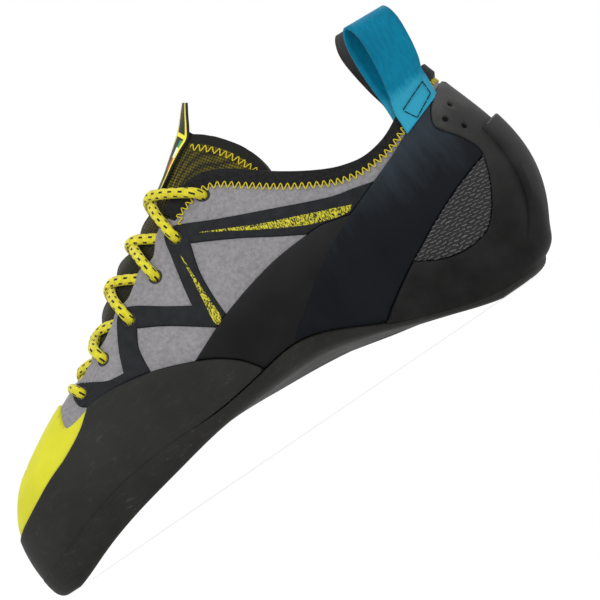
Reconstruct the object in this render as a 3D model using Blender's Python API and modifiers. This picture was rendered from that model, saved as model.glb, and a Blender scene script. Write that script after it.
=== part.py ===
"""Climbing shoe for the right foot: lasted upper, cambered rubber sole, overlays, lace and loops.

Metres, +Z up, toe toward -X, medial side toward -Y, standing on the toe and the heel at Z = 0.
Tables are in millimetres. Each overlay is a layer of the last's surface, cut by its outline in side view.
"""

import math
from collections import namedtuple

import bmesh
import bpy
import numpy as np
from mathutils import Vector

MM = 0.001
NAME = "climbing_shoe"

# Sizes of the pieces
GAP = 0.35
SEAM = 0.16
SOLE_GAP = 0.5
UPPER_WALL = 2.0
CAP_FILM = 0.9
RAND_RUBBER = 1.8
EYESTAY_FILM = 0.8
PANEL_RUBBER = 1.0
BAND_RUBBER = 1.1
PATCH_RUBBER = 1.4
CUP_RUBBER = 1.6
STRIP_RUBBER = 2.4
CUFF_WALL = 2.0
TONGUE_PAD = 2.8
SOLE_FLOOR = 4.2
SOLE_RIM = 4.4
INSOLE_BOARD = 1.8
COLLAR_DROP = 0.05
MEDIAL_COLLAR = -27.0
EYELET = 4.2
EAR_HOLE = 2.0
LACE = 3.6
RIBBON = 20.0
RIBBON_CLOTH = 1.2

# Fineness of the last's grid
STATIONS = 40
LEVELS = 10
GATHER = 0.3

Feather = namedtuple("Feather", "name x medial_y medial_z lateral_y lateral_z lip")
Top = namedtuple("Top", "x y half z")
Wall = namedtuple("Wall", "low_out low_up high_out high_up swell")
Tread = namedtuple("Tread", "x medial_y medial_z lateral_y lateral_z")

# Feather edge, where upper and sole meet, from heel to toe
FEATHER = (
    Feather("heel back", 104.5, 0.0, 9.0, 0.0, 9.0, 5.0),
    Feather("heel corner", 98.5, -14.5, 6.5, 14.5, 6.5, 4.6),
    Feather("heel side", 84.0, -22.5, 4.5, 23.0, 4.5, 2.6),
    Feather("rear arch", 62.0, -25.0, 10.0, 27.0, 8.5, 2.4),
    Feather("mid arch", 38.0, -28.0, 20.5, 31.0, 14.5, 2.8),
    Feather("arch top", 14.0, -32.0, 31.0, 35.5, 19.5, 2.8),
    Feather("waist", -8.0, -36.3, 30.0, 39.3, 22.0, 2.8),
    Feather("ball back", -32.0, -40.0, 26.8, 41.6, 23.5, 2.6),
    Feather("ball", -56.0, -41.4, 26.0, 39.5, 23.5, 2.6),
    Feather("toe joint", -79.0, -40.6, 23.5, 31.8, 21.0, 2.6),
    Feather("toes", -100.0, -37.0, 18.0, 19.5, 17.0, 2.5),
    Feather("toe side", -115.0, -29.5, 12.5, 4.5, 12.5, 2.4),
    Feather("toe tip", -122.3, -14.0, 10.0, -14.0, 10.0, 2.4),
)

# Line the sections run up to: the collar behind the instep, the ridge in front of it
TOP = (
    Top(106.5, 0.0, 0.0, 97.0),
    Top(102.0, 0.5, 13.0, 94.5),
    Top(92.0, 0.5, 20.5, 88.0),
    Top(75.0, 0.0, 26.0, 83.0),
    Top(59.0, 0.0, 28.0, 88.0),
    Top(46.0, -1.0, 26.0, 104.0),
    Top(30.0, -5.0, 0.0, 128.6),
    Top(-9.0, -7.0, 0.0, 106.6),
    Top(-37.0, -9.0, 0.0, 92.0),
    Top(-63.0, -11.0, 0.0, 71.2),
    Top(-83.0, -13.5, 0.0, 60.8),
    Top(-96.5, -15.0, 0.0, 53.6),
    Top(-105.0, -15.5, 0.0, 48.6),
)

# Fullness of the sections: handles at the feather edge and at the top, and a swell at mid height
MEDIAL_WALL = (
    Wall(13.0, 6.0, 8.4, -29.0, 6.6),
    Wall(12.0, 6.0, 8.2, -29.0, 5.8),
    Wall(9.0, 8.0, 7.0, -30.0, 2.0),
    Wall(8.0, 10.0, 5.0, -27.0, 0.0),
    Wall(8.0, 12.0, 5.0, -28.0, 0.0),
    Wall(6.0, 14.0, 8.0, -30.0, 0.0),
    Wall(5.0, 24.0, 13.0, -4.0, 0.0),
    Wall(3.5, 24.0, 11.0, 0.0, 0.0),
    Wall(3.5, 22.0, 11.0, 0.0, 0.0),
    Wall(3.5, 19.0, 11.5, 0.0, 0.0),
    Wall(3.5, 17.0, 12.0, 0.5, 0.0),
    Wall(3.0, 17.0, 12.0, 2.0, 0.0),
    Wall(2.0, 18.0, 11.5, 3.0, 0.0),
)
LATERAL_WALL = (
    Wall(13.0, 6.0, 8.4, -29.0, 6.6),
    Wall(12.0, 6.0, 8.2, -29.0, 5.8),
    Wall(9.0, 8.0, 7.0, -30.0, 2.0),
    Wall(8.0, 10.0, 5.0, -27.0, 0.0),
    Wall(8.0, 12.0, 5.0, -28.0, 0.0),
    Wall(6.0, 16.0, 8.0, -30.0, 0.0),
    Wall(5.0, 22.0, 14.0, -4.0, 0.0),
    Wall(4.0, 19.0, 13.0, 0.0, 0.0),
    Wall(4.0, 17.0, 14.0, 0.0, 0.0),
    Wall(4.0, 15.0, 16.0, 0.0, 0.0),
    Wall(4.0, 14.0, 15.0, 0.5, 0.0),
    Wall(3.5, 15.0, 12.0, 2.0, 0.0),
    Wall(2.0, 18.0, 11.5, 3.0, 0.0),
)
FORK = 6

# Edge of the sole's underside
TREAD = (
    Tread(98.0, 0.0, 0.0, 0.0, 0.0),
    Tread(94.5, -10.0, 0.0, 10.0, 0.0),
    Tread(84.0, -17.5, 0.0, 18.0, 0.0),
    Tread(62.0, -20.5, 6.6, 22.5, 6.3),
    Tread(38.0, -19.5, 15.0, 26.5, 13.2),
    Tread(14.0, -19.0, 21.0, 31.0, 17.2),
    Tread(-8.0, -24.0, 21.2, 35.0, 19.0),
    Tread(-32.0, -35.0, 20.0, 37.5, 19.8),
    Tread(-56.0, -39.5, 15.9, 36.0, 15.9),
    Tread(-79.0, -38.5, 11.2, 28.5, 11.2),
    Tread(-99.0, -34.0, 5.2, 16.5, 5.2),
    Tread(-113.5, -26.0, 0.0, 2.5, 0.0),
    Tread(-119.6, -14.0, 0.0, -14.0, 0.0),
)

# Borders between the overlays in side view, x and z
CAP_LOW = [(-135, 24.5), (-123, 28), (-110, 35), (-100, 40), (-90, 43.9), (-80, 49), (-72, 55)]
CAP_REAR = [(-72, 55), (-78, 54.2), (-83, 54), (-84, 57), (-82, 61), (-79, 66), (-77, 74)]
RAND_SIDE = [(-72, 55), (-62, 55.7), (-53.5, 54.8), (-44.5, 53), (-37, 50.6), (-28, 47)]
RAND_REAR = [(-28, 47), (-20, 42.6), (-13, 37), (-8, 31), (-4, 22), (-2, 8)]
PANEL_TOP = [(-28, 47), (-20, 50.5), (-14, 53), (-8, 55.3), (5, 59), (20, 62), (35, 63), (46, 62.3),
             (57, 61.5)]
BAND_FRONT = [(57, 61.5), (45, 56.5), (30, 48), (20, 41), (11, 35), (5, 30), (0, 20), (-1, 8)]
BAND_TOP = [(57, 61.5), (68, 65.5), (80, 70), (88, 73.5), (97, 77), (105, 80)]
EAR_FRONT = [(105, 80), (101, 75), (99, 70), (101, 66), (105, 60.5), (108, 54), (108.3, 50)]
EAR_TOP = [(105, 80), (110, 81.5), (116, 83), (126, 86)]
PATCH_TOP = [(108.3, 50), (99, 47.3), (88, 43.3), (76, 38), (63, 31.5)]
PATCH_LOW = [(63, 31.5), (71, 26.8), (79, 24.2), (87, 23.9), (94, 26), (100, 32.3), (105, 41), (108.3, 50)]
CUP_FRONT = [(63, 31.5), (55, 27), (47, 22), (40, 16), (34, 6), (32, -4)]
STRIP_SIDE = [(95, 5), (101, 6), (108, 8), (116, 11), (140, 14), (140, 59), (90, 59)]
THROAT = [(-77, 74), (-73.5, 67), (-68, 66.8), (-61, 70.9), (-54, 73.5), (-47.5, 77.6), (-43, 81),
          (-37, 82.2), (-31, 86), (-27, 88.9), (-20, 90), (-15, 95.5), (-11, 98), (-7, 99.5), (-4.5, 97)]
CUFF_SEAM = [(-4.5, 97), (2, 98.6), (10, 101), (17, 99.6), (25, 94), (35, 86.6), (45, 80), (55, 74.2),
             (63, 71.4), (71, 70.6), (80, 72), (88, 75.4), (97, 79.8), (105, 83.4), (112, 85.6), (124, 87)]
CUFF_TOP = [(-6, 102), (2, 104.5), (10, 106), (17, 104.8), (25, 100.3), (36, 91.6), (45, 85.2), (55, 79.6),
            (63, 76.6), (71, 75.4), (80, 76.8), (88, 80.3), (97, 85.8), (105, 90.3), (112, 92.4), (124, 93)]
TONGUE_TOP = [(20, 121.5), (25, 117.5), (30, 111.5), (34, 105), (36, 98), (36.3, 92), (35, 84)]
TONGUE_LOW = [(35, 84), (15, 86), (-5, 82), (-25, 72), (-45, 63), (-65, 56), (-80, 54)]

# Outline of the zigzag eyestay below and above its bands
STAY_FRONT = [(-44.5, 53), (-43.2, 63), (-39.5, 70)]
STAY_SECOND = [(-39.5, 70), (-30, 64.6), (-20, 57.5), (-14, 53)]
STAY_THIRD = [(-8, 55.3), (-8, 65), (-7, 75), (-4, 85.5)]
STAY_LONG = [(-4, 85.5), (5, 82), (15, 76.5), (25, 70), (35, 63)]
STAY_TOP = [(68, 65.5), (60, 68), (50, 71), (30, 80), (10, 89), (-3, 95.5)]
STAY_NOTCH = [(-3, 95.5), (-8, 96.6), (-12, 94), (-14, 85), (-16, 74), (-17, 65.4)]
STAY_STEP = [(-17, 65.4), (-25, 70.5), (-35, 77.5), (-40, 79.2), (-44, 77), (-50, 67), (-53.5, 58.6)]
STAY_TOE = [(-53.5, 58.6), (-60, 59.6), (-66, 63), (-70.5, 65), (-74.5, 62.5), (-75, 58), (-72, 55)]

# Half width of the heel strip in back view, y and z
STRIP_BACK = [(25, 4), (24, 8.5), (20.8, 13), (19, 21), (18.3, 30), (18.2, 40), (17.4, 50), (16.5, 61)]

# Middle line of the tongue tab in side view
TAB_LINE = [(-3, 110.6), (5, 115.2), (13, 119.4), (17.5, 122), (19.5, 126.5), (24.5, 132.5)]
TAB_RIBBON = 1.1
TAB_SIDES = (-10.0, -1.0)

# Pull loop in section: depth out of the collar and height
LOOP_X = 99.0
LOOP_REACH = 0.62
LOOP_SHAPE = ((5.0, 97.0), (7.6, 105.0), (7.4, 112.0), (4.6, 118.6), (0.0, 121.0), (-4.6, 118.6),
              (-7.4, 112.0), (-7.6, 105.0), (-5.5, 97.0))

# Eyelet rows, the same height on both sides of the throat
EYELETS = ((10.5, 98.5), (-7.5, 90.0), (-22.5, 82.5), (-40.0, 74.0), (-57.0, 67.5), (-71.0, 60.5))

# Lace crossings: apex on the ridge, and where the bar that leads to it comes up beside the throat
LaceRow = namedtuple("LaceRow", "apex x z")
LACE_ROWS = (
    LaceRow(0.0, 10.5, 98.5),
    LaceRow(-6.0, -16.5, 97.6),
    LaceRow(-22.5, -31.5, 89.0),
    LaceRow(-37.0, -48.8, 79.0),
    LaceRow(-53.0, -60.0, 71.8),
    LaceRow(-65.0, 0.0, 0.0),
)
LACE_END = (-70.0, 67.0)
LACE_LOW = 0.35
LACE_MID = GAP + LACE / 2
LACE_HIGH = EYESTAY_FILM + 2 * GAP + LACE / 2 + 0.1
EAR_HOLES = ((109.5, 74.0), (105.0, 70.3), (109.5, 64.0))


def around(medial, lateral):
    """One closed loop of rows: heel, medial side, toe, lateral side."""
    return np.array(list(medial) + list(lateral)[-2:0:-1], float)


def both_edges(table):
    """Closed loop of a table's medial and lateral points."""
    medial = [(r.x, r.medial_y, r.medial_z) for r in table]
    lateral = [(r.x, r.lateral_y, r.lateral_z) for r in table]
    return around(medial, lateral)


FOOT = both_edges(FEATHER)
EDGE = around([(r.x, r.y - r.half, r.z) for r in TOP], [(r.x, r.y + r.half, r.z) for r in TOP])
WALLS = around(MEDIAL_WALL, LATERAL_WALL)
SOLE_EDGE = both_edges(TREAD)
LIPS = around([(r.lip,) for r in FEATHER], [(r.lip,) for r in FEATHER])
ROUND = len(FOOT)


def closed_curve(rows):
    """Smooth periodic curve through the rows, one unit of its parameter for each row."""
    system = 4 * np.eye(ROUND) + np.roll(np.eye(ROUND), 1, 0) + np.roll(np.eye(ROUND), -1, 0)
    bend = np.linalg.solve(system, 6 * (np.roll(rows, -1, 0) - 2 * rows + np.roll(rows, 1, 0)))

    def at(u):
        first = np.floor(u).astype(int)
        t = (u - first)[..., None]
        i = first % ROUND
        j = (first + 1) % ROUND
        straight = (1 - t) * rows[i] + t * rows[j]
        return straight + (((1 - t) ** 3 - (1 - t)) * bend[i] + (t**3 - t) * bend[j]) / 6

    return at


def outward_rows():
    """Level direction out of the feather edge at each row."""
    line = closed_curve(FOOT)
    u = np.arange(ROUND, dtype=float)
    run = line(u + 0.01) - line(u - 0.01)
    out = np.stack([-run[:, 1], run[:, 0], np.zeros(ROUND)], axis=1)
    return out / np.linalg.norm(out, axis=1, keepdims=True)


def high_rows(out):
    """Upper handles, kept in the slope of the ridge where the two sides share it."""
    rows = EDGE + WALLS[:, 2:3] * out
    rows[:, 2] += WALLS[:, 3]
    last_row = len(TOP) - 1
    for q in range(FORK, last_row + 1):
        ahead = TOP[min(q + 1, last_row)]
        behind = TOP[q - 1]
        slope = (ahead.z - behind.z) / (ahead.x - behind.x)
        for i in {q, (ROUND - q) % ROUND}:
            rows[i, 2] += slope * WALLS[i, 2] * out[i, 0]
    return rows


OUT_ROWS = outward_rows()
LOW_ROWS = FOOT + WALLS[:, 0:1] * OUT_ROWS + WALLS[:, 1:2] * np.array([0.0, 0.0, 1.0])
foot_at = closed_curve(FOOT)
low_at = closed_curve(LOW_ROWS)
high_at = closed_curve(high_rows(OUT_ROWS))
edge_at = closed_curve(EDGE)
swell_at = closed_curve(WALLS[:, 4:5] * OUT_ROWS)
out_at = closed_curve(OUT_ROWS)
tread_at = closed_curve(SOLE_EDGE)
lip_at = closed_curve(LIPS)


def on_ridge(u):
    reach = np.minimum(u % ROUND, ROUND - u % ROUND)
    return reach >= FORK


def bare(u, v):
    """The last's surface: u round the foot from the heel, v from the feather edge up."""
    top = np.where(on_ridge(u)[..., None], (edge_at(u) + edge_at(ROUND - u)) / 2, edge_at(u))
    w = v[..., None]
    low = (1 - w) ** 3 * foot_at(u) + 3 * (1 - w) ** 2 * w * low_at(u)
    high = 3 * (1 - w) * w**2 * high_at(u) + w**3 * top
    return low + high + (4 * w * (1 - w)) ** 3 * swell_at(u)


def normal(u, v):
    step = 1e-3
    v = np.minimum(v, 0.995)
    run = bare(u + step, v) - bare(u - step, v)
    rise = bare(u, v + step) - bare(u, v - step)
    out = np.cross(rise, run)
    return out / np.linalg.norm(out, axis=-1, keepdims=True)


def skin(u, v, offset):
    """Layer of the last at a distance from its outer face, in millimetres."""
    u = np.asarray(u, float)
    v = np.asarray(v, float)
    here = bare(u, v) + offset * normal(u, v)
    there = bare(ROUND - u, v) + offset * normal(ROUND - u, v)
    shared = (on_ridge(u) & (v > 0.9999))[..., None]
    return np.where(shared, (here + there) / 2, here)


def station(count):
    """Place round the foot of a grid line, the lines gathered at toe and heel."""
    share = 2 * count / STATIONS
    return ROUND / 2 * (share - GATHER * np.sin(2 * np.pi * share) / (2 * np.pi))


def search_grid(side):
    u, v = np.meshgrid(np.linspace(0.02, ROUND / 2 - 0.02, 481), np.linspace(0.0, 1.0, 201), indexing="ij")
    u = u if side < 0 else ROUND - u
    return u, v, bare(u, v)


SEEN = {side: search_grid(side) for side in (-1, 1)}


def find(x, z, side):
    """Place on the last that shows at x, z in side view; side -1 is medial."""
    u, v, seen = SEEN[side]
    best = np.argmin((seen[..., 0] - x) ** 2 + (seen[..., 2] - z) ** 2)
    return u.flat[best], v.flat[best]


def clear_scene():
    for item in list(bpy.data.objects):
        bpy.data.objects.remove(item, do_unlink=True)


def collection(name):
    made = bpy.data.collections.new(name)
    bpy.context.scene.collection.children.link(made)
    return made


def finish(name, colour, roughness):
    made = bpy.data.materials.new(name)
    made.use_nodes = True
    shader = made.node_tree.nodes["Principled BSDF"]
    shader.inputs["Base Color"].default_value = (*colour, 1.0)
    shader.inputs["Roughness"].default_value = roughness
    return made


def solid(name, bm, look=None, smooth=True, cutter=False):
    """Object from a bmesh, in the shoe's collection or among the cutters."""
    mesh = bpy.data.meshes.new(name)
    bm.to_mesh(mesh)
    bm.free()
    for face in mesh.polygons:
        face.use_smooth = smooth
    item = bpy.data.objects.new(name, mesh)
    if cutter:
        item.hide_render = True
        item.display_type = "WIRE"
        CUTTERS.objects.link(item)
    else:
        mesh.materials.append(look)
        SHOE.objects.link(item)
    return item


def cut(item, cutter, operation="DIFFERENCE", folded=False):
    step = item.modifiers.new(cutter.name, "BOOLEAN")
    step.operation = operation
    step.solver = "EXACT"
    step.use_self = folded
    step.object = cutter


def thicken(item, thickness, inward):
    step = item.modifiers.new("wall", "SOLIDIFY")
    step.thickness = thickness * MM
    step.offset = -1.0 if inward else 1.0
    step.use_even_offset = False


def form(name, face, thickness, look, inward=False, runs=((0, STATIONS),), lowest=0):
    """Shell of the last, or of some runs of its grid, with its near face at one offset."""
    bm = bmesh.new()
    high = LEVELS - lowest
    for first, end in runs:
        made = bmesh.ops.create_grid(bm, x_segments=end - first, y_segments=high, size=1.0)["verts"]
        place = np.array([tuple(v.co) for v in made])
        u = station(first + (place[:, 0] + 1) / 2 * (end - first))
        points = skin(u, (lowest + (place[:, 1] + 1) / 2 * high) / LEVELS, face) * MM
        for vert, point in zip(made, points):
            vert.co = point
    bmesh.ops.triangulate(bm, faces=bm.faces, quad_method="FIXED")
    bmesh.ops.remove_doubles(bm, verts=bm.verts, dist=2e-5)
    bm.normal_update()
    middle = Vector(np.mean([tuple(v.co) for v in bm.verts], axis=0))
    middle.y = 0.0
    facing = sum(f.normal.dot(f.calc_center_median() - middle) for f in bm.faces)
    if facing < 0:
        bmesh.ops.reverse_faces(bm, faces=bm.faces)
    item = solid(name, bm, look)
    thicken(item, thickness, inward)
    return item


def smooth_line(points, step=8.0):
    """Rounded line through a border's points."""
    p = np.array(points, float)
    ends = np.vstack([2 * p[0] - p[1], p, 2 * p[-1] - p[-2]])
    line = [p[0]]
    for a, b, c, d in zip(ends, ends[1:], ends[2:], ends[3:]):
        count = max(1, round(float(np.linalg.norm(c - b)) / step))
        for k in range(1, count + 1):
            t = k / count
            line.append(b + 0.5 * t * (c - a + t * (2 * a - 5 * b + 4 * c - d + t * (3 * (b - c) + d - a))))
    return [tuple(q) for q in line]


def stretch(border, start, end):
    """The run of a border between two x values."""
    line = smooth_line(border)
    run = [q for q in line if min(start, end) - 0.01 <= q[0] <= max(start, end) + 0.01]
    return run if (run[0][0] < run[-1][0]) == (start < end) else run[::-1]


def chain(*runs):
    """Closed outline from runs that follow each other."""
    points = []
    for run in runs:
        for q in run:
            if not points or math.dist(points[-1], q) > 0.3:
                points.append(q)
    if math.dist(points[0], points[-1]) < 0.3:
        points.pop()
    return points


def inset(points, by):
    """Outline moved in by a seam's half width."""
    p = np.array(points, float)
    run = np.roll(p, -1, 0) - p
    run /= np.linalg.norm(run, axis=1, keepdims=True)
    x, z = p.T
    turn = 1.0 if np.sum(x * np.roll(z, -1) - np.roll(x, -1) * z) > 0 else -1.0
    side = turn * np.stack([-run[:, 1], run[:, 0]], axis=1)
    before = np.roll(side, 1, 0)
    spread = np.maximum(1 + np.sum(side * before, axis=1, keepdims=True), 0.35)
    return [tuple(q) for q in p + by * (side + before) / spread]


def run_out(corners, run):
    """Closed outline of corners in millimetres, extruded along one run."""
    bm = bmesh.new()
    face = bm.faces.new([bm.verts.new(Vector(c) * MM) for c in corners])
    grown = bmesh.ops.extrude_face_region(bm, geom=[face])
    moved = [g for g in grown["geom"] if isinstance(g, bmesh.types.BMVert)]
    bmesh.ops.translate(bm, vec=Vector(run) * MM, verts=moved)
    bmesh.ops.recalc_face_normals(bm, faces=bm.faces)
    return bm


def prism(name, points, near=-90.0, far=90.0, tilt=0.0):
    """Side-view outline run across the shoe; tilt lowers it toward the lateral side."""
    bm = run_out([(x, near, z) for x, z in points], (0.0, far - near, 0.0))
    for v in bm.verts:
        v.co.z -= tilt * (v.co.y - MEDIAL_COLLAR * MM)
    return solid(name, bm, cutter=True)


def overlay(name, points, thickness, look, near=-90.0, far=90.0, face=GAP):
    """Layer of the last inside one outline."""
    item = form(name, face, thickness, look)
    cut(item, prism(name + "_outline", inset(points, SEAM), near, far), "INTERSECT")
    return item


def pair(name, points, thickness, look):
    overlay(name + "_medial", points, thickness, look, far=-4.0)
    overlay(name + "_lateral", points, thickness, look, near=-4.0)


def drills(name, places, diameter, depth):
    """Round cutters standing on the last at side-view places."""
    bm = bmesh.new()
    for x, z, side in places:
        u, v = (np.array(q) for q in find(x, z, side))
        at = skin(u, v, 0.0)
        out = normal(u, v)
        made = bmesh.ops.create_cone(bm, cap_ends=True, segments=8, radius1=diameter / 2 * MM,
                                     radius2=diameter / 2 * MM, depth=2 * depth * MM)
        turn = Vector((0.0, 0.0, 1.0)).rotation_difference(Vector(out)).to_matrix()
        for vert in made["verts"]:
            vert.co = turn @ vert.co + Vector(at * MM)
    return solid(name, bm, cutter=True)


def rings_to_mesh(rings, closed_ends):
    """Skin of rings with the same number of points; end rings are closed by rungs from side to side."""
    bm = bmesh.new()
    loops = [[bm.verts.new(tuple(p * MM)) for p in ring] for ring in rings]
    count = len(loops[0])
    for low, high in zip(loops, loops[1:]):
        for k in range(count):
            n = (k + 1) % count
            bm.faces.new((low[k], low[n], high[n], high[k]))
    for loop in closed_ends(loops):
        for k in range(count // 2):
            corners = [loop[k], loop[k + 1], loop[(count - k - 1) % count], loop[(count - k) % count]]
            face = []
            for v in corners:
                if v not in face:
                    face.append(v)
            bm.faces.new(face)
    bmesh.ops.recalc_face_normals(bm, faces=bm.faces)
    return bm


def sole_rings():
    """Rings of the outsole, from the dish inside over the rim to the tread."""
    u = station(np.arange(STATIONS))
    zero = np.zeros_like(u)
    foot = bare(u, zero)
    rise = bare(u, zero + 1 / LEVELS) - foot
    rise /= np.linalg.norm(rise, axis=1, keepdims=True)
    out = np.cross(rise, np.roll(foot, -1, 0) - np.roll(foot, 1, 0))
    out /= np.linalg.norm(out, axis=1, keepdims=True)
    rim = foot - SOLE_GAP * rise
    lip = rim + lip_at(u) * out
    tread = tread_at(u)
    tread[:, 2] = np.maximum(tread[:, 2], 0.0)
    level = out_at(u)
    level /= np.linalg.norm(level, axis=1, keepdims=True)
    floor = tread - 7.0 * level
    floor[:, 2] = tread[:, 2] + SOLE_FLOOR

    def between(plan, height):
        point = lip + plan * (tread - lip)
        point[:, 2] = lip[:, 2] + height * (tread[:, 2] - lip[:, 2])
        return point

    return [floor, rim - SOLE_RIM * out, lip, between(0.22, 0.62), between(0.55, 0.9), tread], level


def outsole(look):
    rings, _ = sole_rings()
    return solid("outsole", rings_to_mesh(rings, lambda loops: (loops[0], loops[-1])), look)


def insole(look):
    rings, level = sole_rings()
    under = rings[0] - 0.8 * level + np.array([0.0, 0.0, 0.4])
    over = under + np.array([0.0, 0.0, INSOLE_BOARD])
    return solid("insole", rings_to_mesh([under, over], lambda loops: (loops[0], loops[-1])), look)


def tube(name, path, width, look=None, cutter=False):
    """Cord along a smooth path."""
    line = bpy.data.curves.new(name, "CURVE")
    line.dimensions = "3D"
    line.bevel_depth = width / 2 * MM
    line.bevel_resolution = 1
    line.resolution_u = 1
    line.use_fill_caps = True
    spline = line.splines.new("BEZIER")
    spline.bezier_points.add(len(path) - 1)
    for knot, place in zip(spline.bezier_points, path):
        knot.co = tuple(np.array(place) * MM)
        knot.handle_left_type = "AUTO"
        knot.handle_right_type = "AUTO"
    drawn = bpy.data.objects.new(name + "_line", line)
    CUTTERS.objects.link(drawn)
    bpy.context.view_layer.update()
    bm = bmesh.new()
    bm.from_mesh(bpy.data.meshes.new_from_object(drawn))
    bmesh.ops.remove_doubles(bm, verts=bm.verts, dist=1e-5)
    bmesh.ops.recalc_face_normals(bm, faces=bm.faces)
    bpy.data.objects.remove(drawn, do_unlink=True)
    return solid(name, bm, look, cutter=cutter)


def ridge_place(x):
    """Place on the ridge at one x."""
    u = np.linspace(FORK, ROUND / 2, 400)
    return u[np.argmin(np.abs(bare(u, np.ones_like(u))[:, 0] - x))]


def laid(x, z, side, lift):
    """Point above the last at a side-view place."""
    u, v = find(x, z, side)
    return skin(np.array(u), np.array(v), lift)


def run_over(start, apex, end, side, lifts):
    """Points of a lace bar that climbs one side, crosses the ridge and comes down on the other."""
    low, mid, high = lifts
    top = skin(np.array(ridge_place(apex)), np.array(1.0), mid)
    crest = top[[0, 2]]
    path = []
    for share in (0.0, 0.35, 0.7):
        path.append(laid(*(start + share * (crest - start)), side, low))
    path.append(top)
    for share, lift in ((0.2, (mid + high) / 2), (0.4, high), (0.7, high), (1.0, high)):
        path.append(laid(*(crest + share * (end - crest)), -side, lift))
    return path


def lace(look):
    """Five crossings and the straight bar at the toe."""
    lifts = [(LACE_HIGH, LACE_LOW, LACE_HIGH)] + 3 * [(LACE_LOW, LACE_LOW, LACE_HIGH)] + [(LACE_MID,) * 3]
    ends = EYELETS[1:5] + (LACE_END,)
    for k in range(5):
        name = f"lace_crossing_{k + 1}"
        start = np.array(LACE_ROWS[k][1:])
        apex = LACE_ROWS[k + 1].apex
        bars = [run_over(start, apex, np.array(ends[k]), side, lifts[k]) for side in (-1, 1)]
        bar = tube(name, bars[0], LACE, look)
        cut(bar, tube(name + "_other", bars[1], LACE, cutter=True), "UNION")
    toe = np.array(EYELETS[5])
    tube("lace_toe_bar", run_over(toe, toe[0] - 4.5, toe, -1, (LACE_HIGH, LACE_MID, LACE_HIGH)), LACE, look)


def pull_loop(name, side, look):
    """Folded ribbon that straddles the collar beside the heel."""
    spans = np.linspace(-1.0, 1.0, 5)
    u0, _ = find(LOOP_X, 84.0, side)
    out = normal(np.array(u0), np.array(0.9))
    out[2] = 0.0
    out /= np.linalg.norm(out)
    across = side * np.array([-out[1], out[0], 0.0])
    legs = []
    for offset, levels in ((2.9, (0.85, 0.91, 0.97)), (-3.6, (0.97, 0.91, 0.85))):
        legs.append([skin(u0 - side * spans * LOOP_REACH, np.full(5, level), offset) for level in levels])
    rows = list(legs[0])
    centre = (legs[0][-1][2] + legs[1][0][2]) / 2
    for depth, height in LOOP_SHAPE:
        middle = np.array([*(centre + depth * out)[:2], height])
        rows.append(middle + spans[:, None] * RIBBON / 2 * across)
    rows += legs[1]
    bm = bmesh.new()
    made = bmesh.ops.create_grid(bm, x_segments=len(rows) - 1, y_segments=len(spans) - 1, size=1.0)["verts"]
    for vert in made:
        i = round((vert.co.x + 1) / 2 * (len(rows) - 1))
        j = round((vert.co.y + 1) / 2 * (len(spans) - 1))
        vert.co = rows[i][j] * MM
    item = solid(name, bm, look)
    thicken(item, RIBBON_CLOTH, True)
    item.modifiers["wall"].offset = 0.0
    return item


def tongue_tab(look):
    """Ribbon along the tongue's ridge with its end standing free."""
    line = np.array(smooth_line(TAB_LINE, 3.0))
    run = np.gradient(line, axis=0)
    run /= np.linalg.norm(run, axis=1, keepdims=True)
    side = np.stack([-run[:, 1], run[:, 0]], axis=1) * TAB_RIBBON / 2
    near, far = TAB_SIDES
    corners = [(x, near, z) for x, z in [*(line + side), *(line - side)[::-1]]]
    return solid("tongue_tab", run_out(corners, (0.0, far - near, 0.0)), look)


def heel_strip(look):
    """Raised strip up the back of the heel, on top of the cup."""
    strip = form("heel_strip", 2 * GAP + CUP_RUBBER, STRIP_RUBBER, look)
    back = smooth_line(STRIP_BACK)
    corners = [(60.0, y, z) for y, z in back] + [(60.0, -y, z) for y, z in back[::-1]]
    cut(strip, solid("strip_back", run_out(corners, (80.0, 0.0, 0.0)), cutter=True), "INTERSECT")
    cut(strip, prism("strip_side", STRIP_SIDE), "INTERSECT")


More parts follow.
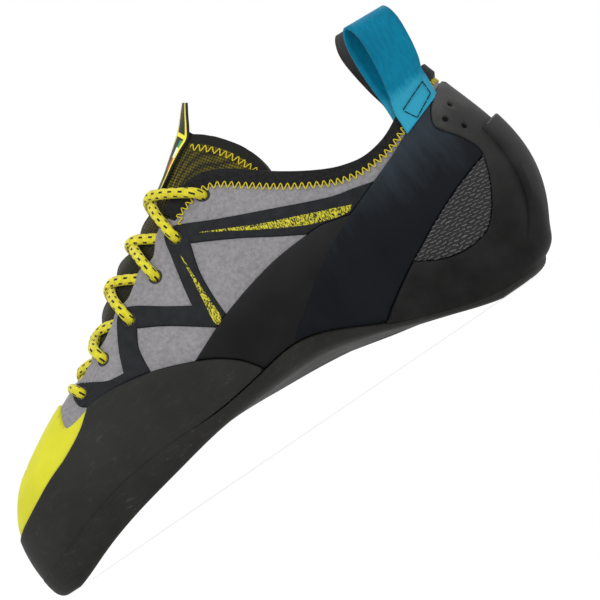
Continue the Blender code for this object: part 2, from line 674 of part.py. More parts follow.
def build():
    rubber = finish("rubber", (0.028, 0.028, 0.026), 0.7)
    panel = finish("panel_rubber", (0.02, 0.02, 0.021), 0.5)
    navy = finish("band_rubber", (0.014, 0.02, 0.035), 0.5)
    suede = finish("suede", (0.32, 0.31, 0.33), 0.9)
    film = finish("eyestay_film", (0.028, 0.031, 0.036), 0.6)
    yellow = finish("cap_film", (0.8, 0.78, 0.06), 0.5)
    knit = finish("knit", (0.02, 0.02, 0.022), 0.9)
    board = finish("insole_board", (0.25, 0.25, 0.24), 0.9)
    cord = finish("lace_cord", (0.85, 0.78, 0.05), 0.8)
    blue = finish("blue_ribbon", (0.005, 0.21, 0.37), 0.6)
    grey = finish("grey_ribbon", (0.05, 0.05, 0.052), 0.7)

    outsole(rubber)
    insole(board)

    upper = form("upper", 0.0, UPPER_WALL, suede, inward=True)
    mouth = chain(smooth_line(THROAT), smooth_line(CUFF_SEAM), [(135, 95), (135, 150), (-77, 150)])
    cut(upper, prism("mouth", mouth, tilt=COLLAR_DROP))
    rows = [(x, z, side) for x, z in EYELETS for side in (-1, 1)]
    cut(upper, drills("eyelet_holes", rows, EYELET, 6.0))

    cuff = form("collar_cuff", -CUFF_WALL, CUFF_WALL, knit)
    seam = [(x, z + 2 * SEAM) for x, z in smooth_line(CUFF_SEAM)]
    cut(cuff, prism("cuff_outline", chain(seam, smooth_line(CUFF_TOP)[::-1]), tilt=COLLAR_DROP), "INTERSECT")

    tongue = form("tongue", -UPPER_WALL - GAP, TONGUE_PAD, knit, True, ((7, 17), (23, 33)), 4)
    ceiling = [(-84, 58), (-76, 80), (0, 140), (20, 140)]
    flap = chain(smooth_line(TONGUE_TOP), smooth_line(TONGUE_LOW), ceiling)
    cut(tongue, prism("tongue_outline", flap), "INTERSECT", folded=True)

    cap_low, cap_rear = smooth_line(CAP_LOW), smooth_line(CAP_REAR)
    rand_side, rand_rear = smooth_line(RAND_SIDE), smooth_line(RAND_REAR)
    panel_top, band_front, band_top = smooth_line(PANEL_TOP), smooth_line(BAND_FRONT), smooth_line(BAND_TOP)
    ear_front, ear_top = smooth_line(EAR_FRONT), smooth_line(EAR_TOP)
    patch_top, patch_low, cup_front = smooth_line(PATCH_TOP), smooth_line(PATCH_LOW), smooth_line(CUP_FRONT)

    overlay("toe_cap", chain(cap_low, cap_rear, [(-77, 90), (-135, 90)]), CAP_FILM, yellow)
    rand = chain(cap_low, rand_side, rand_rear, [(-2, -10), (-135, -10)])
    overlay("toe_rand", rand, RAND_RUBBER, rubber)
    pair("side_panel", chain(panel_top, band_front, rand_rear[::-1]), PANEL_RUBBER, panel)
    band = chain(band_top, ear_front, patch_top, cup_front, [(-1, -4)], band_front[::-1])
    pair("arch_band", band, BAND_RUBBER, navy)
    pair("heel_patch", chain(patch_top, patch_low), PATCH_RUBBER, rubber)
    shell = chain(patch_low, ear_front[::-1], ear_top, [(140, 86), (140, -10), (32, -10)], cup_front[::-1])
    cup = overlay("heel_cup", shell, CUP_RUBBER, rubber)
    cut(cup, drills("ear_holes", [(x, z, side) for x, z in EAR_HOLES for side in (-1, 1)], EAR_HOLE, 6.0))
    heel_strip(rubber)

    stay = chain(stretch(RAND_SIDE, -72, -44.5), smooth_line(STAY_FRONT), smooth_line(STAY_SECOND),
                 stretch(PANEL_TOP, -14, -8), smooth_line(STAY_THIRD), smooth_line(STAY_LONG),
                 stretch(PANEL_TOP, 35, 57), stretch(BAND_TOP, 57, 68), smooth_line(STAY_TOP),
                 smooth_line(STAY_NOTCH), smooth_line(STAY_STEP), smooth_line(STAY_TOE))
    pair("eyestay", stay, EYESTAY_FILM, film)
    for side in ("medial", "lateral"):
        cut(bpy.data.objects["eyestay_" + side], bpy.data.objects["eyelet_holes"])

    lace(cord)
    pull_loop("pull_loop_medial", -1, blue)
    pull_loop("pull_loop_lateral", 1, grey)
    tongue_tab(cord)


clear_scene()
SHOE = collection(NAME)
CUTTERS = collection("cutters")
build()
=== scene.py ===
import math

import bmesh
import bpy
import numpy as np
from mathutils import Matrix, Vector, geometry


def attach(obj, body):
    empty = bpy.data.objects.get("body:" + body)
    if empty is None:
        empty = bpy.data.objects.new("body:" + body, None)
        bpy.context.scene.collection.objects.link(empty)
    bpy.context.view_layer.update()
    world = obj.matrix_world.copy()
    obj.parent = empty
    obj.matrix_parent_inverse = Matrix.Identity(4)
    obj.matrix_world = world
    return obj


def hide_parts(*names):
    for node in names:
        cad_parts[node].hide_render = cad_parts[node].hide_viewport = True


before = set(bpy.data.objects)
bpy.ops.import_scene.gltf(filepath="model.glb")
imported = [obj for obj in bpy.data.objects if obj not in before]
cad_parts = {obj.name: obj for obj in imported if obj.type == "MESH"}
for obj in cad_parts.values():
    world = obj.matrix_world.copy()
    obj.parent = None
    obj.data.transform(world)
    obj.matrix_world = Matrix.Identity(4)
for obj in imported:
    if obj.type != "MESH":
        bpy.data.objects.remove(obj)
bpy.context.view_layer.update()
mm = 0.001
print("frame loaded:", len(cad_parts), "nodes")

# the last, rows from heel to toe, millimetres
last = {
    "feather": [  # x, medial y, medial z, lateral y, lateral z, lip
        (104.5, 0.0, 9.0, 0.0, 9.0, 5.0),
        (98.5, -14.5, 6.5, 14.5, 6.5, 4.6),
        (84.0, -22.5, 4.5, 23.0, 4.5, 2.6),
        (62.0, -25.0, 10.0, 27.0, 8.5, 2.4),
        (38.0, -28.0, 20.5, 31.0, 14.5, 2.8),
        (14.0, -32.0, 31.0, 35.5, 19.5, 2.8),
        (-8.0, -36.3, 30.0, 39.3, 22.0, 2.8),
        (-32.0, -40.0, 26.8, 41.6, 23.5, 2.6),
        (-56.0, -41.4, 26.0, 39.5, 23.5, 2.6),
        (-79.0, -40.6, 23.5, 31.8, 21.0, 2.6),
        (-100.0, -37.0, 18.0, 19.5, 17.0, 2.5),
        (-115.0, -29.5, 12.5, 4.5, 12.5, 2.4),
        (-122.3, -14.0, 10.0, -14.0, 10.0, 2.4),
    ],
    "top": [  # x, y, half width, z
        (106.5, 0.0, 0.0, 97.0),
        (102.0, 0.5, 13.0, 94.5),
        (92.0, 0.5, 20.5, 88.0),
        (75.0, 0.0, 26.0, 83.0),
        (59.0, 0.0, 28.0, 88.0),
        (46.0, -1.0, 26.0, 104.0),
        (30.0, -5.0, 0.0, 128.6),
        (-9.0, -7.0, 0.0, 106.6),
        (-37.0, -9.0, 0.0, 92.0),
        (-63.0, -11.0, 0.0, 71.2),
        (-83.0, -13.5, 0.0, 60.8),
        (-96.5, -15.0, 0.0, 53.6),
        (-105.0, -15.5, 0.0, 48.6),
    ],
    "heelWall": [  # low out, low up, high out, high up, swell; both sides
        (13.0, 6.0, 8.4, -29.0, 6.6),
        (12.0, 6.0, 8.2, -29.0, 5.8),
        (9.0, 8.0, 7.0, -30.0, 2.0),
        (8.0, 10.0, 5.0, -27.0, 0.0),
        (8.0, 12.0, 5.0, -28.0, 0.0),
    ],
    "medialWall": [
        (6.0, 14.0, 8.0, -30.0, 0.0),
        (5.0, 24.0, 13.0, -4.0, 0.0),
        (3.5, 24.0, 11.0, 0.0, 0.0),
        (3.5, 22.0, 11.0, 0.0, 0.0),
        (3.5, 19.0, 11.5, 0.0, 0.0),
        (3.5, 17.0, 12.0, 0.5, 0.0),
        (3.0, 17.0, 12.0, 2.0, 0.0),
        (2.0, 18.0, 11.5, 3.0, 0.0),
    ],
    "lateralWall": [
        (6.0, 16.0, 8.0, -30.0, 0.0),
        (5.0, 22.0, 14.0, -4.0, 0.0),
        (4.0, 19.0, 13.0, 0.0, 0.0),
        (4.0, 17.0, 14.0, 0.0, 0.0),
        (4.0, 15.0, 16.0, 0.0, 0.0),
        (4.0, 14.0, 15.0, 0.5, 0.0),
        (3.5, 15.0, 12.0, 2.0, 0.0),
        (2.0, 18.0, 11.5, 3.0, 0.0),
    ],
    "tread": [  # x, medial y, medial z, lateral y, lateral z
        (98.0, 0.0, 0.0, 0.0, 0.0),
        (94.5, -10.0, 0.0, 10.0, 0.0),
        (84.0, -17.5, 0.0, 18.0, 0.0),
        (62.0, -20.5, 6.6, 22.5, 6.3),
        (38.0, -19.5, 15.0, 26.5, 13.2),
        (14.0, -19.0, 21.0, 31.0, 17.2),
        (-8.0, -24.0, 21.2, 35.0, 19.0),
        (-32.0, -35.0, 20.0, 37.5, 19.8),
        (-56.0, -39.5, 15.9, 36.0, 15.9),
        (-79.0, -38.5, 11.2, 28.5, 11.2),
        (-99.0, -34.0, 5.2, 16.5, 5.2),
        (-113.5, -26.0, 0.0, 2.5, 0.0),
        (-119.6, -14.0, 0.0, -14.0, 0.0),
    ],
    "fork": 6,  # row where the ridge begins
}

# borders of the panels in side view, x and z
borders = {
    "capLow": [(-117, 31.2), (-110, 35), (-100, 40), (-90, 43.9), (-80, 49), (-72, 55)],
    "capRear": [(-72, 55), (-77.3, 53.7), (-82.2, 53), (-83.8, 53.7), (-83.6, 56.5), (-82.6, 59)],
    "randSide": [(-72, 55), (-62, 55.7), (-53.5, 54.8), (-44.5, 53), (-37, 50.6), (-28, 47)],
    "randRear": [(-28, 47), (-20, 42.6), (-13, 37), (-8.5, 31)],
    "panelTop": [(-28, 47), (-20, 50.5), (-14, 53), (-8, 55.3), (5, 59), (20, 62), (35, 63), (42, 62.9), (48, 61.4),
                 (53, 60.1)],
    "bandTip": [(57, 61.5), (53, 60.1)],
    "bandFront": [(53, 60.1), (45, 56.5), (30, 48), (20, 41), (11, 35), (7.5, 32)],
    "bandTop": [(57, 61.5), (68, 65.5), (80, 70), (88, 73.5), (97, 77), (105, 80)],
    "earFront": [(105, 80), (101, 75), (99, 70), (101, 66), (105, 60.5), (108, 54), (108.3, 50)],
    "earTop": [(105, 80), (108, 81.5), (111, 82.6)],
    "patchTop": [(108.3, 50), (99, 47.3), (88, 43.3), (76, 38), (63, 31.5)],
    "patchLow": [(63, 31.5), (71, 26.8), (79, 24.2), (87, 23.9), (94, 26), (100, 32.3), (105, 41), (108.3, 50)],
    "cupFront": [(63, 31.5), (55, 27), (47, 22), (40.5, 17.5)],
    "throat": [(-73.5, 66.2), (-67.5, 66.5), (-60.2, 70.4), (-53.2, 73), (-46.6, 77), (-42.1, 80.4), (-36.1, 81.6),
               (-30.1, 85.4), (-26.1, 88.2), (-19.1, 89.4), (-14.1, 94.9), (-10.2, 97.5), (-6.5, 98.8), (-4.2, 96.2)],
    "cuffSeam": [(-4.2, 96.2), (2, 97.8), (10, 100.1), (17, 98.5), (25, 92.8), (35, 85.4), (45, 79), (55, 73.7),
                 (63, 71.4), (71, 71), (80, 72.2), (88, 75.2), (97, 79.8), (104, 83)],
    "cuffTop": [(-6, 102), (2, 104.5), (10, 106), (17, 104.8), (25, 100.3), (36, 91.6), (45, 85.2), (55, 79.6),
                (63, 76.6), (71, 75.4), (80, 76.8), (88, 80.3), (97, 85.8), (104, 90)],
    "tongueTop": [(20, 121.5), (25, 117.5), (30, 111.5), (34, 105), (36, 98), (36.3, 92), (35, 84)],
    "tongueLow": [(35, 84), (15, 86), (-5, 82), (-25, 72), (-45, 63), (-65, 56), (-80, 54)],
    "stayFront": [(-44.5, 53), (-43.2, 63), (-39.5, 70)],
    "staySecond": [(-39.5, 70), (-30, 64.6), (-20, 57.5), (-14, 53)],
    "stayThird": [(-8, 55.3), (-8, 65), (-7, 75), (-4, 85.5)],
    "stayLong": [(-4, 85.5), (4.6, 81), (14.4, 75.5), (24.6, 69.1), (35, 63)],
    "stayTop": [(68, 65.5), (60, 67.7), (49.6, 70.4), (29.4, 79), (9.8, 87.6), (-2.4, 93.6)],
    "stayNotch": [(-2.4, 93.6), (-6.8, 95), (-11, 93.2), (-13.1, 85), (-15.5, 74), (-17, 65.4)],
    "stayStep": [(-17, 65.4), (-25, 70.5), (-35, 77.5), (-40, 79.2), (-44, 77), (-50, 67), (-53.5, 58.6)],
    "stayToe": [(-53.5, 58.6), (-60, 59.6), (-66, 63), (-70.5, 65), (-74.5, 62.5), (-75, 58), (-72, 55)],
    "stripeLong": [(1.4, 87), (11.7, 81.9), (22.2, 76.7), (31.9, 72.7), (41.7, 68.7), (50, 65.3), (55.6, 62.9)],
    "stripeUnder": [(55.6, 62.9), (53.6, 61.2), (48, 62), (39.1, 65.1), (29.9, 69.7), (20.9, 74.8), (11, 80.9),
                    (1.4, 86.6)],
    "stripeShort": [(-9.4, 84), (-9.7, 75), (-9.9, 65), (-10.2, 55.2), (-13.6, 54.2), (-12.3, 65), (-10.9, 75),
                    (-9.8, 84)],
    "capEnd": 27.8,  # heights where a border reaches the toe or heel line
    "earEnd": 83.8,
    "seamEnd": 84.8,
    "cuffEnd": 91.2,
    "capCrest": -80.6,  # where a border reaches the ridge
    "tongueRear": 15.4,
    "tongueFront": (-83.0, 60.0),
}
eyelets = [(10.5, 98.5), (-7.5, 90.0), (-22.5, 82.5), (-40.0, 74.0), (-57.0, 67.5), (-71.0, 60.5)]

bothSides = (-1, 1)
sideName = {-1: "medial", 1: "lateral"}
flatScale = np.array([20.0, 90.0])  # about how many millimetres one step in q and in v is
upright = np.array([0.0, 0.0, 1.0])
nudge = 1e-3  # step for slopes in q and v
onEdge = 0.02  # a point this near a free edge lies on it
underTop = 0.999  # the highest level for layers of the cuff and its seam


def unit(rows):
    return rows / np.linalg.norm(rows, axis=-1, keepdims=True)


def reachOf(spots):  # length run through at each point
    return np.concatenate([[0.0], np.cumsum(np.linalg.norm(np.diff(spots, axis=0), axis=1))])


def bell(x, centre, width):
    return np.exp(-(((x - centre) / width) ** 2))


def eased(share):
    return share * share * (3 - 2 * share)


def domed(share):  # steep at first, then level
    return 0.35 + 0.65 * np.sqrt(1 - (1 - share) ** 2)


def closed(ring):
    return np.vstack([ring, ring[:1]])


def around(medial, lateral):
    return np.array(list(medial) + list(lateral)[-2:0:-1], float)


def closedCurve(rows):  # periodic cubic through the rows
    count = len(rows)
    system = 4 * np.eye(count) + np.roll(np.eye(count), 1, 0) + np.roll(np.eye(count), -1, 0)
    bend = np.linalg.solve(system, 6 * (np.roll(rows, -1, 0) - 2 * rows + np.roll(rows, 1, 0)))

    def at(u):
        first = np.floor(u).astype(int)
        t = (u - first)[..., None]
        i, j = first % count, (first + 1) % count
        straight = (1 - t) * rows[i] + t * rows[j]
        return straight + (((1 - t) ** 3 - (1 - t)) * bend[i] + (t**3 - t) * bend[j]) / 6

    return at


def setLast():
    feather, top, tread = last["feather"], last["top"], last["tread"]
    foot = around([r[0:3] for r in feather], [(r[0], r[3], r[4]) for r in feather])
    edge = around([(x, y - h, z) for x, y, h, z in top], [(x, y + h, z) for x, y, h, z in top])
    wall = around(last["heelWall"] + last["medialWall"], last["heelWall"] + last["lateralWall"])
    count = len(foot)
    u = np.arange(count, dtype=float)
    run = closedCurve(foot)(u + 0.01) - closedCurve(foot)(u - 0.01)
    out = unit(np.stack([-run[:, 1], run[:, 0], 0 * u], axis=1))
    low = foot + wall[:, 0:1] * out + wall[:, 1:2] * upright
    high = edge + wall[:, 2:3] * out + wall[:, 3:4] * upright
    for q in range(last["fork"], len(top)):  # the handles follow the ridge's slope
        ahead, behind = top[min(q + 1, len(top) - 1)], top[q - 1]
        for i in {q, (count - q) % count}:
            high[i, 2] += (ahead[3] - behind[3]) / (ahead[0] - behind[0]) * wall[i, 2] * out[i, 0]
    treadRows = around([r[0:3] for r in tread], [(r[0], r[3], r[4]) for r in tread])
    lips = around([(r[5],) for r in feather], [(r[5],) for r in feather])
    rows = {"foot": foot, "low": low, "high": high, "edge": edge, "swell": wall[:, 4:5] * out, "out": out,
            "tread": treadRows, "lip": lips}
    return {name: closedCurve(r) for name, r in rows.items()}, count


curves, turns = setLast()
half = turns / 2


def fromHeel(u):  # steps from the heel line, either way round
    return np.minimum(u % turns, turns - u % turns)


def bare(u, v):
    shared = (curves["edge"](u) + curves["edge"](turns - u)) / 2
    top = np.where((fromHeel(u) >= last["fork"])[..., None], shared, curves["edge"](u))
    w = v[..., None]
    low = (1 - w) ** 3 * curves["foot"](u) + 3 * (1 - w) ** 2 * w * curves["low"](u)
    high = 3 * (1 - w) * w**2 * curves["high"](u) + w**3 * top
    return low + high + (4 * w * (1 - w)) ** 3 * curves["swell"](u)


def normal(u, v):
    v = np.minimum(v, 0.995)
    run = bare(u + nudge, v) - bare(u - nudge, v)
    rise = bare(u, v + nudge) - bare(u, v - nudge)
    return unit(np.cross(rise, run))


def skin(u, v, offset=0.0):  # a layer of the last, millimetres
    u, v = np.asarray(u, float), np.asarray(v, float)
    lift = np.asarray(offset, float)[..., None]
    here = bare(u, v) + lift * normal(u, v)
    there = bare(turns - u, v) + lift * normal(turns - u, v)
    shared = ((fromHeel(u) >= last["fork"]) & (v > 0.9999))[..., None]
    return np.where(shared, (here + there) / 2, here)


def turn(q, side):  # q runs 0 heel to 12 toe on either side
    return q if side < 0 else turns - q


def spotsAt(places, side):  # places in q and v as points on the last
    return bare(turn(places[:, 0], side), places[:, 1])


def layerAt(places, side, offset):
    return skin(turn(places[:, 0], side), places[:, 1], offset)


def normalsAt(places, side):
    return normal(turn(places[:, 0], side), places[:, 1])


def searchGrid(side):
    q, v = np.meshgrid(np.linspace(0.0, half, 361), np.linspace(0.0, 1.0, 161), indexing="ij")
    return q.ravel(), v.ravel(), bare(turn(q, side), v).reshape(-1, 3)


seen = {side: searchGrid(side) for side in bothSides}
search = {"sightRounds": 8, "sightStep": (0.05, 0.02), "edgeOn": 60, "nearRounds": 6, "nearStep": (0.03, 0.01)}


def stretchAt(q, v, side):  # how the surface runs in q and v, millimetres
    v = np.clip(v, 2e-3, 0.993)
    dq = (bare(turn(q + nudge, side), v) - bare(turn(q - nudge, side), v)) / (2 * nudge)
    dv = (bare(turn(q, side), v + nudge) - bare(turn(q, side), v - nudge)) / (2 * nudge)
    return dq, dv


def stepsFor(dq, dv, move):  # steps in q and v that come closest to a move
    aa, bb, ab = (dq * dq).sum(1), (dv * dv).sum(1), (dq * dv).sum(1)
    mq, mv = (dq * move).sum(1), (dv * move).sum(1)
    det = np.maximum(aa * bb - ab * ab, 1.0)
    return (bb * mq - ab * mv) / det, (aa * mv - ab * mq) / det


def stepped(q, v, stepQ, stepV, most):
    q = np.clip(q + np.clip(stepQ, -most[0], most[0]), 0.0, half)
    return q, np.clip(v + np.clip(stepV, -most[1], most[1]), 0.0, 1.0)


def onSide(points, side, axes=(0, 2), reach=99.0):  # places on one side that show at the points
    target = np.array(points, float)
    gridQ, gridV, spots = seen[side]
    far = (gridQ > reach) * 1e6
    best = [int(np.argmin(((spots[:, axes] - t) ** 2).sum(axis=1) + far)) for t in target]
    q, v = gridQ[best], gridV[best]
    least = search["edgeOn"]
    for _ in range(search["sightRounds"]):
        miss = target - bare(turn(q, side), v)[:, axes]
        dq, dv = (slope[:, axes] for slope in stretchAt(q, v, side))
        det = dq[:, 0] * dv[:, 1] - dq[:, 1] * dv[:, 0]
        det = np.where(np.abs(det) < least, np.sign(det) * least + (det == 0) * least, det)
        stepQ = (miss[:, 0] * dv[:, 1] - miss[:, 1] * dv[:, 0]) / det
        stepV = (dq[:, 0] * miss[:, 1] - dq[:, 1] * miss[:, 0]) / det
        q, v = stepped(q, v, stepQ, stepV, search["sightStep"])
    return np.stack([q, v], axis=1)


def crestAt(x):  # place on the ridge
    q = np.linspace(last["fork"], half, 400)
    return float(np.interp(x, bare(q, np.ones(400))[::-1, 0], q[::-1])), 1.0


def nearestOn(points, side):  # places on one side closest to points
    gridQ, gridV, spots = seen[side]
    best = [int(np.argmin(((spots - p) ** 2).sum(axis=1))) for p in points]
    q, v = gridQ[best], gridV[best]
    for _ in range(search["nearRounds"]):
        steps = stepsFor(*stretchAt(q, v, side), points - bare(turn(q, side), v))
        q, v = stepped(q, v, *steps, search["nearStep"])
    return np.stack([q, v], axis=1)


def heightOn(q, side, z):  # level at one station where the wall reaches a height
    v = np.linspace(0.0, 1.0, 801)
    return q, float(np.interp(z, bare(np.full(801, float(turn(q, side))), v)[:, 2], v))


def throughPoints(points, counts):  # a smooth line through points, or through rows of points
    p = np.array(points, float)
    ends = np.concatenate([2 * p[:1] - p[1:2], p, 2 * p[-1:] - p[-2:-1]])
    line = [p[0]]
    for a, b, c, d, count in zip(ends, ends[1:], ends[2:], ends[3:], counts):
        for t in np.arange(1, count + 1) / count:
            line.append(b + 0.5 * t * (c - a + t * (2 * a - 5 * b + 4 * c - d + t * (3 * (b - c) + d - a))))
    return np.array(line)


def smoothLine(points, step=1.1):
    gaps = np.linalg.norm(np.diff(np.array(points, float), axis=0), axis=1)
    return throughPoints(points, [max(1, round(float(gap) / step)) for gap in gaps])


collar = {"fall": 0.05, "nearY": -27.0, "from": -70.0, "run": 30.0}  # the far side of the collar lies lower


def collarDrop(x, y):
    return collar["fall"] * (y - collar["nearY"]) * np.clip((x - collar["from"]) / collar["run"], 0.0, 1.0)


def border(name, side, span=None):
    line = smoothLine(borders[name])
    if span:
        line = line[(line[:, 0] >= min(span) - 0.01) & (line[:, 0] <= max(span) + 0.01)]
    found = onSide(line, side)
    if side > 0 and name in ("throat", "cuffSeam", "cuffTop"):
        fall = collarDrop(line[:, 0], spotsAt(found, side)[:, 1])
        found = onSide(np.stack([line[:, 0], line[:, 1] - fall], axis=1), side)
    return found


def straight(a, b, step=0.05):  # a run between two places in q and v
    count = max(2, int(max(abs(b[0] - a[0]) / step, abs(b[1] - a[1]) / (step / 4))) + 1)
    return np.linspace(np.array(a, float), np.array(b, float), count)


def leadIn(place, line):  # a line with a straight run before it
    return np.vstack([straight(place, line[0])[:-1], line])


def carryOn(line, place):  # a line with a straight run after it
    return np.vstack([line, straight(line[-1], place)[1:]])


def surfaceGap(points, line):  # distance from each point to a line of points
    gap = np.full(len(points), 1e9)
    for k in range(0, len(line), 200):
        part = line[k:k + 200]
        gap = np.minimum(gap, np.sqrt(((points[:, None, :] - part[None]) ** 2).sum(axis=2)).min(axis=1))
    return gap


def inside(points, loops):  # even-odd test
    odd = np.zeros(len(points), bool)
    for loop in loops:
        a, b = loop, np.roll(loop, -1, 0)
        for (x0, y0), (x1, y1) in zip(a, b):
            if y0 == y1:
                continue
            hit = (points[:, 1] > min(y0, y1)) & (points[:, 1] <= max(y0, y1))
            odd ^= hit & (points[:, 0] < x0 + (points[:, 1] - y0) / (y1 - y0) * (x1 - x0))
    return odd


def dense(points3, step=0.5):
    parts = []
    for a, b in zip(points3, points3[1:]):
        count = max(1, int(np.linalg.norm(b - a) / step))
        parts.append(a + (b - a) * np.linspace(0, 1, count, endpoint=False)[:, None])
    parts.append(points3[-1:])
    return np.vstack(parts)


meshing = {
    "grid": (0.085, 0.024), "rings": (0.12, 0.4, 0.9),  # steps in q and v, and rows beside a free edge, millimetres
    "meets": 0.25, "rowGap": 0.82, "gridGap": 1.25,  # how near runs join, and the room round rows and grid
    "rowMargin": (0.01, 0.003), "gridMargin": (0.02, 0.006),
}


def within(places, marginQ, marginV):  # clear of the last's own limits
    q, v = places.T
    return (q > marginQ) & (q < half - marginQ) & (v > marginV) & (v < 1 - marginV)


def outlineOf(runs):  # runs joined in one closed line, and where it is a free edge
    outline, free = [], []

    def meets(a, b):
        return np.hypot((a[0] - b[0]) * flatScale[0], (a[1] - b[1]) * flatScale[1]) < meshing["meets"]

    for line, isFree in runs:
        for place in line:
            if outline and meets(place, outline[-1]):
                free[-1] = free[-1] or isFree
            else:
                outline.append(place)
                free.append(isFree)
    if meets(outline[0], outline[-1]):
        outline.pop()
        tail = free.pop()
        free[0] = free[0] or tail
    return np.array(outline), np.array(free)


def besideEdge(loop, free, loops, freeSpots, side, rings):  # rows of points along a free edge
    spots = spotsAt(loop, side)
    along = np.roll(spots, -1, 0) - np.roll(spots, 1, 0)
    along /= np.maximum(np.linalg.norm(along, axis=1, keepdims=True), 1e-6)
    across = np.cross(normalsAt(loop, side), along)
    slopes = stretchAt(loop[:, 0], loop[:, 1], side)
    rows = []
    for gap in rings:
        for way in (-1.0, 1.0):
            row = (loop + np.stack(stepsFor(*slopes, way * gap * across), axis=1))[free]
            if len(row):
                near = surfaceGap(spotsAt(row, side), freeSpots)
                clear = (near > gap * meshing["rowGap"]) & within(row, *meshing["rowMargin"])
                rows.append(row[clear & inside(row, loops)])
    return rows


def patch(runs, side, holes=(), grid=meshing["grid"], rings=meshing["rings"]):
    # a piece of the last inside an outline of runs, each a line in q, v and whether it is a free edge
    outline, free = outlineOf(runs)
    loops = [outline] + list(holes)
    freeLines = [line for line, isFree in runs if isFree] + [closed(hole) for hole in holes]
    freeSpots = np.vstack([dense(spotsAt(line, side)) for line in freeLines])
    points = list(loops)
    for loop, flags in zip(loops, [free] + [np.ones(len(hole), bool) for hole in holes]):
        points += besideEdge(loop, flags, loops, freeSpots, side, rings)
    ticks = [np.arange(math.floor(low / step), math.ceil(high / step) + 1) * step
             for low, high, step in zip(outline.min(axis=0), outline.max(axis=0), grid)]
    lattice = np.stack(np.meshgrid(*ticks, indexing="ij"), axis=2).reshape(-1, 2)
    lattice = lattice[inside(lattice, loops) & within(lattice, *meshing["gridMargin"])]
    rims = np.vstack([dense(spotsAt(loop, side)) for loop in loops])
    points.append(lattice[surfaceGap(spotsAt(lattice, side), rims) > max(rings) * meshing["gridGap"]])
    edges, start = [], 0
    for loop in loops:
        edges += [(start + k, start + (k + 1) % len(loop)) for k in range(len(loop))]
        start += len(loop)
    flat = [Vector(place * flatScale) for place in np.vstack(points)]
    made = geometry.delaunay_2d_cdt(flat, edges, [], 0, 1e-5, False)
    places, faces = np.array([tuple(p) for p in made[0]]) / flatScale, np.array(made[2])
    faces = faces[inside(places[faces].mean(axis=1), loops)]
    used = np.unique(faces)
    places, faces = places[used], np.searchsorted(used, faces)
    places[:, 1] = np.clip(places[:, 1], 0.0, 1.0)
    spots = spotsAt(places, side)
    return {"places": places, "faces": faces, "spots": spots, "gap": surfaceGap(spots, freeSpots), "side": side}


def stepUp(piece, face, soft=0.9):  # offset that climbs from the free edge to the face
    share = np.clip(piece["gap"] / soft, 0.0, 1.0)
    return np.where(piece["gap"] < onEdge, 0.0, face * domed(share))


def newObject(name, bm, material, smooth=True):
    mesh = bpy.data.meshes.new(name)
    bm.to_mesh(mesh)
    bm.free()
    for face in mesh.polygons:
        face.use_smooth = smooth
    item = bpy.data.objects.new(name, mesh)
    mesh.materials.append(material)
    bpy.context.scene.collection.objects.link(item)
    return item


def newPiece(name, bm, material, nodes=(), wall=0.0, inward=0.0):
    item = newObject(name, bm, material)
    if wall:
        solid = item.modifiers.new("wall", "SOLIDIFY")
        solid.thickness = wall * mm
        solid.offset = -inward
    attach(item, "root")
    if nodes:
        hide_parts(*nodes)
    print(name, len(item.data.polygons), "faces")
    return item


joins = {"seam": 3e-5, "ridgeEnd": 0.0024, "ridgeLift": 0.6, "tube": 1e-6, "scrap": 0.02}  # the last one is a share of faces


def dropScraps(bm):  # slivers at the ridge's end and islands that a hole cuts off
    crowded = [edge for edge in bm.edges if len(edge.link_faces) > 2]
    slivers = {min(edge.link_faces, key=lambda face: face.calc_area()) for edge in crowded}
    bmesh.ops.delete(bm, geom=list(slivers), context="FACES")
    left, scraps = set(bm.faces), []
    while left:
        todo = [left.pop()]
        island = list(todo)
        while todo:
            near = {face for edge in todo.pop().edges for face in edge.link_faces} & left
            left -= near
            todo += near
            island += near
        if len(island) < joins["scrap"] * len(bm.faces):
            scraps += island
    bmesh.ops.delete(bm, geom=scraps, context="FACES")


def joinPatches(name, pieces, lift, material, nodes=(), wall=0.0):
    bm = bmesh.new()
    gapLayer = bm.verts.layers.float.new("edgeGap")
    flatLayer = bm.loops.layers.uv.new("UVMap")  # about millimetres along and up the last
    for piece in pieces:
        spots = layerAt(piece["places"], piece["side"], lift(piece)) * mm
        verts = [bm.verts.new(p) for p in spots]
        for vert, gap in zip(verts, piece["gap"]):
            vert[gapLayer] = gap
        flat = piece["places"] * flatScale
        for face in piece["faces"]:
            order = face[::-1] if piece["side"] < 0 else face
            made = bm.faces.new([verts[i] for i in order])
            for loop, i in zip(made.loops, order):
                loop[flatLayer].uv = flat[i]
    bmesh.ops.remove_doubles(bm, verts=bm.verts, dist=joins["seam"])
    end = Vector(skin([half], [1.0], [joins["ridgeLift"]])[0] * mm)
    near = [vert for vert in bm.verts if (vert.co - end).length < joins["ridgeEnd"]]
    if near:  # the ridge runs out in one point
        bmesh.ops.pointmerge(bm, verts=near, merge_co=sum((vert.co for vert in near), Vector()) / len(near))
    dropScraps(bm)
    bm.normal_update()
    return newPiece(name, bm, material, nodes, wall, 1.0)


# finishes
def shaderOf(material):
    return material.node_tree.nodes["Principled BSDF"]


def finish(name, colour, roughness, specular=0.5, sheen=0.0):
    made = bpy.data.materials.new(name)
    made.use_nodes = True
    sockets = {"Base Color": (*colour, 1.0), "Roughness": roughness, "Specular IOR Level": specular,
               "Sheen Weight": sheen, "Sheen Roughness": 0.4}
    for key, value in sockets.items():
        shaderOf(made).inputs[key].default_value = value
    return made


def wire(material, output, socket):
    material.node_tree.links.new(output, socket)


def node(material, kind, sockets=None, **settings):  # a socket takes a value or a wire
    made = material.node_tree.nodes.new(kind)
    for key, value in settings.items():
        setattr(made, key, value)
    for key, value in (sockets or {}).items():
        if isinstance(value, bpy.types.NodeSocket):
            wire(material, value, made.inputs[key])
        else:
            made.inputs[key].default_value = value
    return made


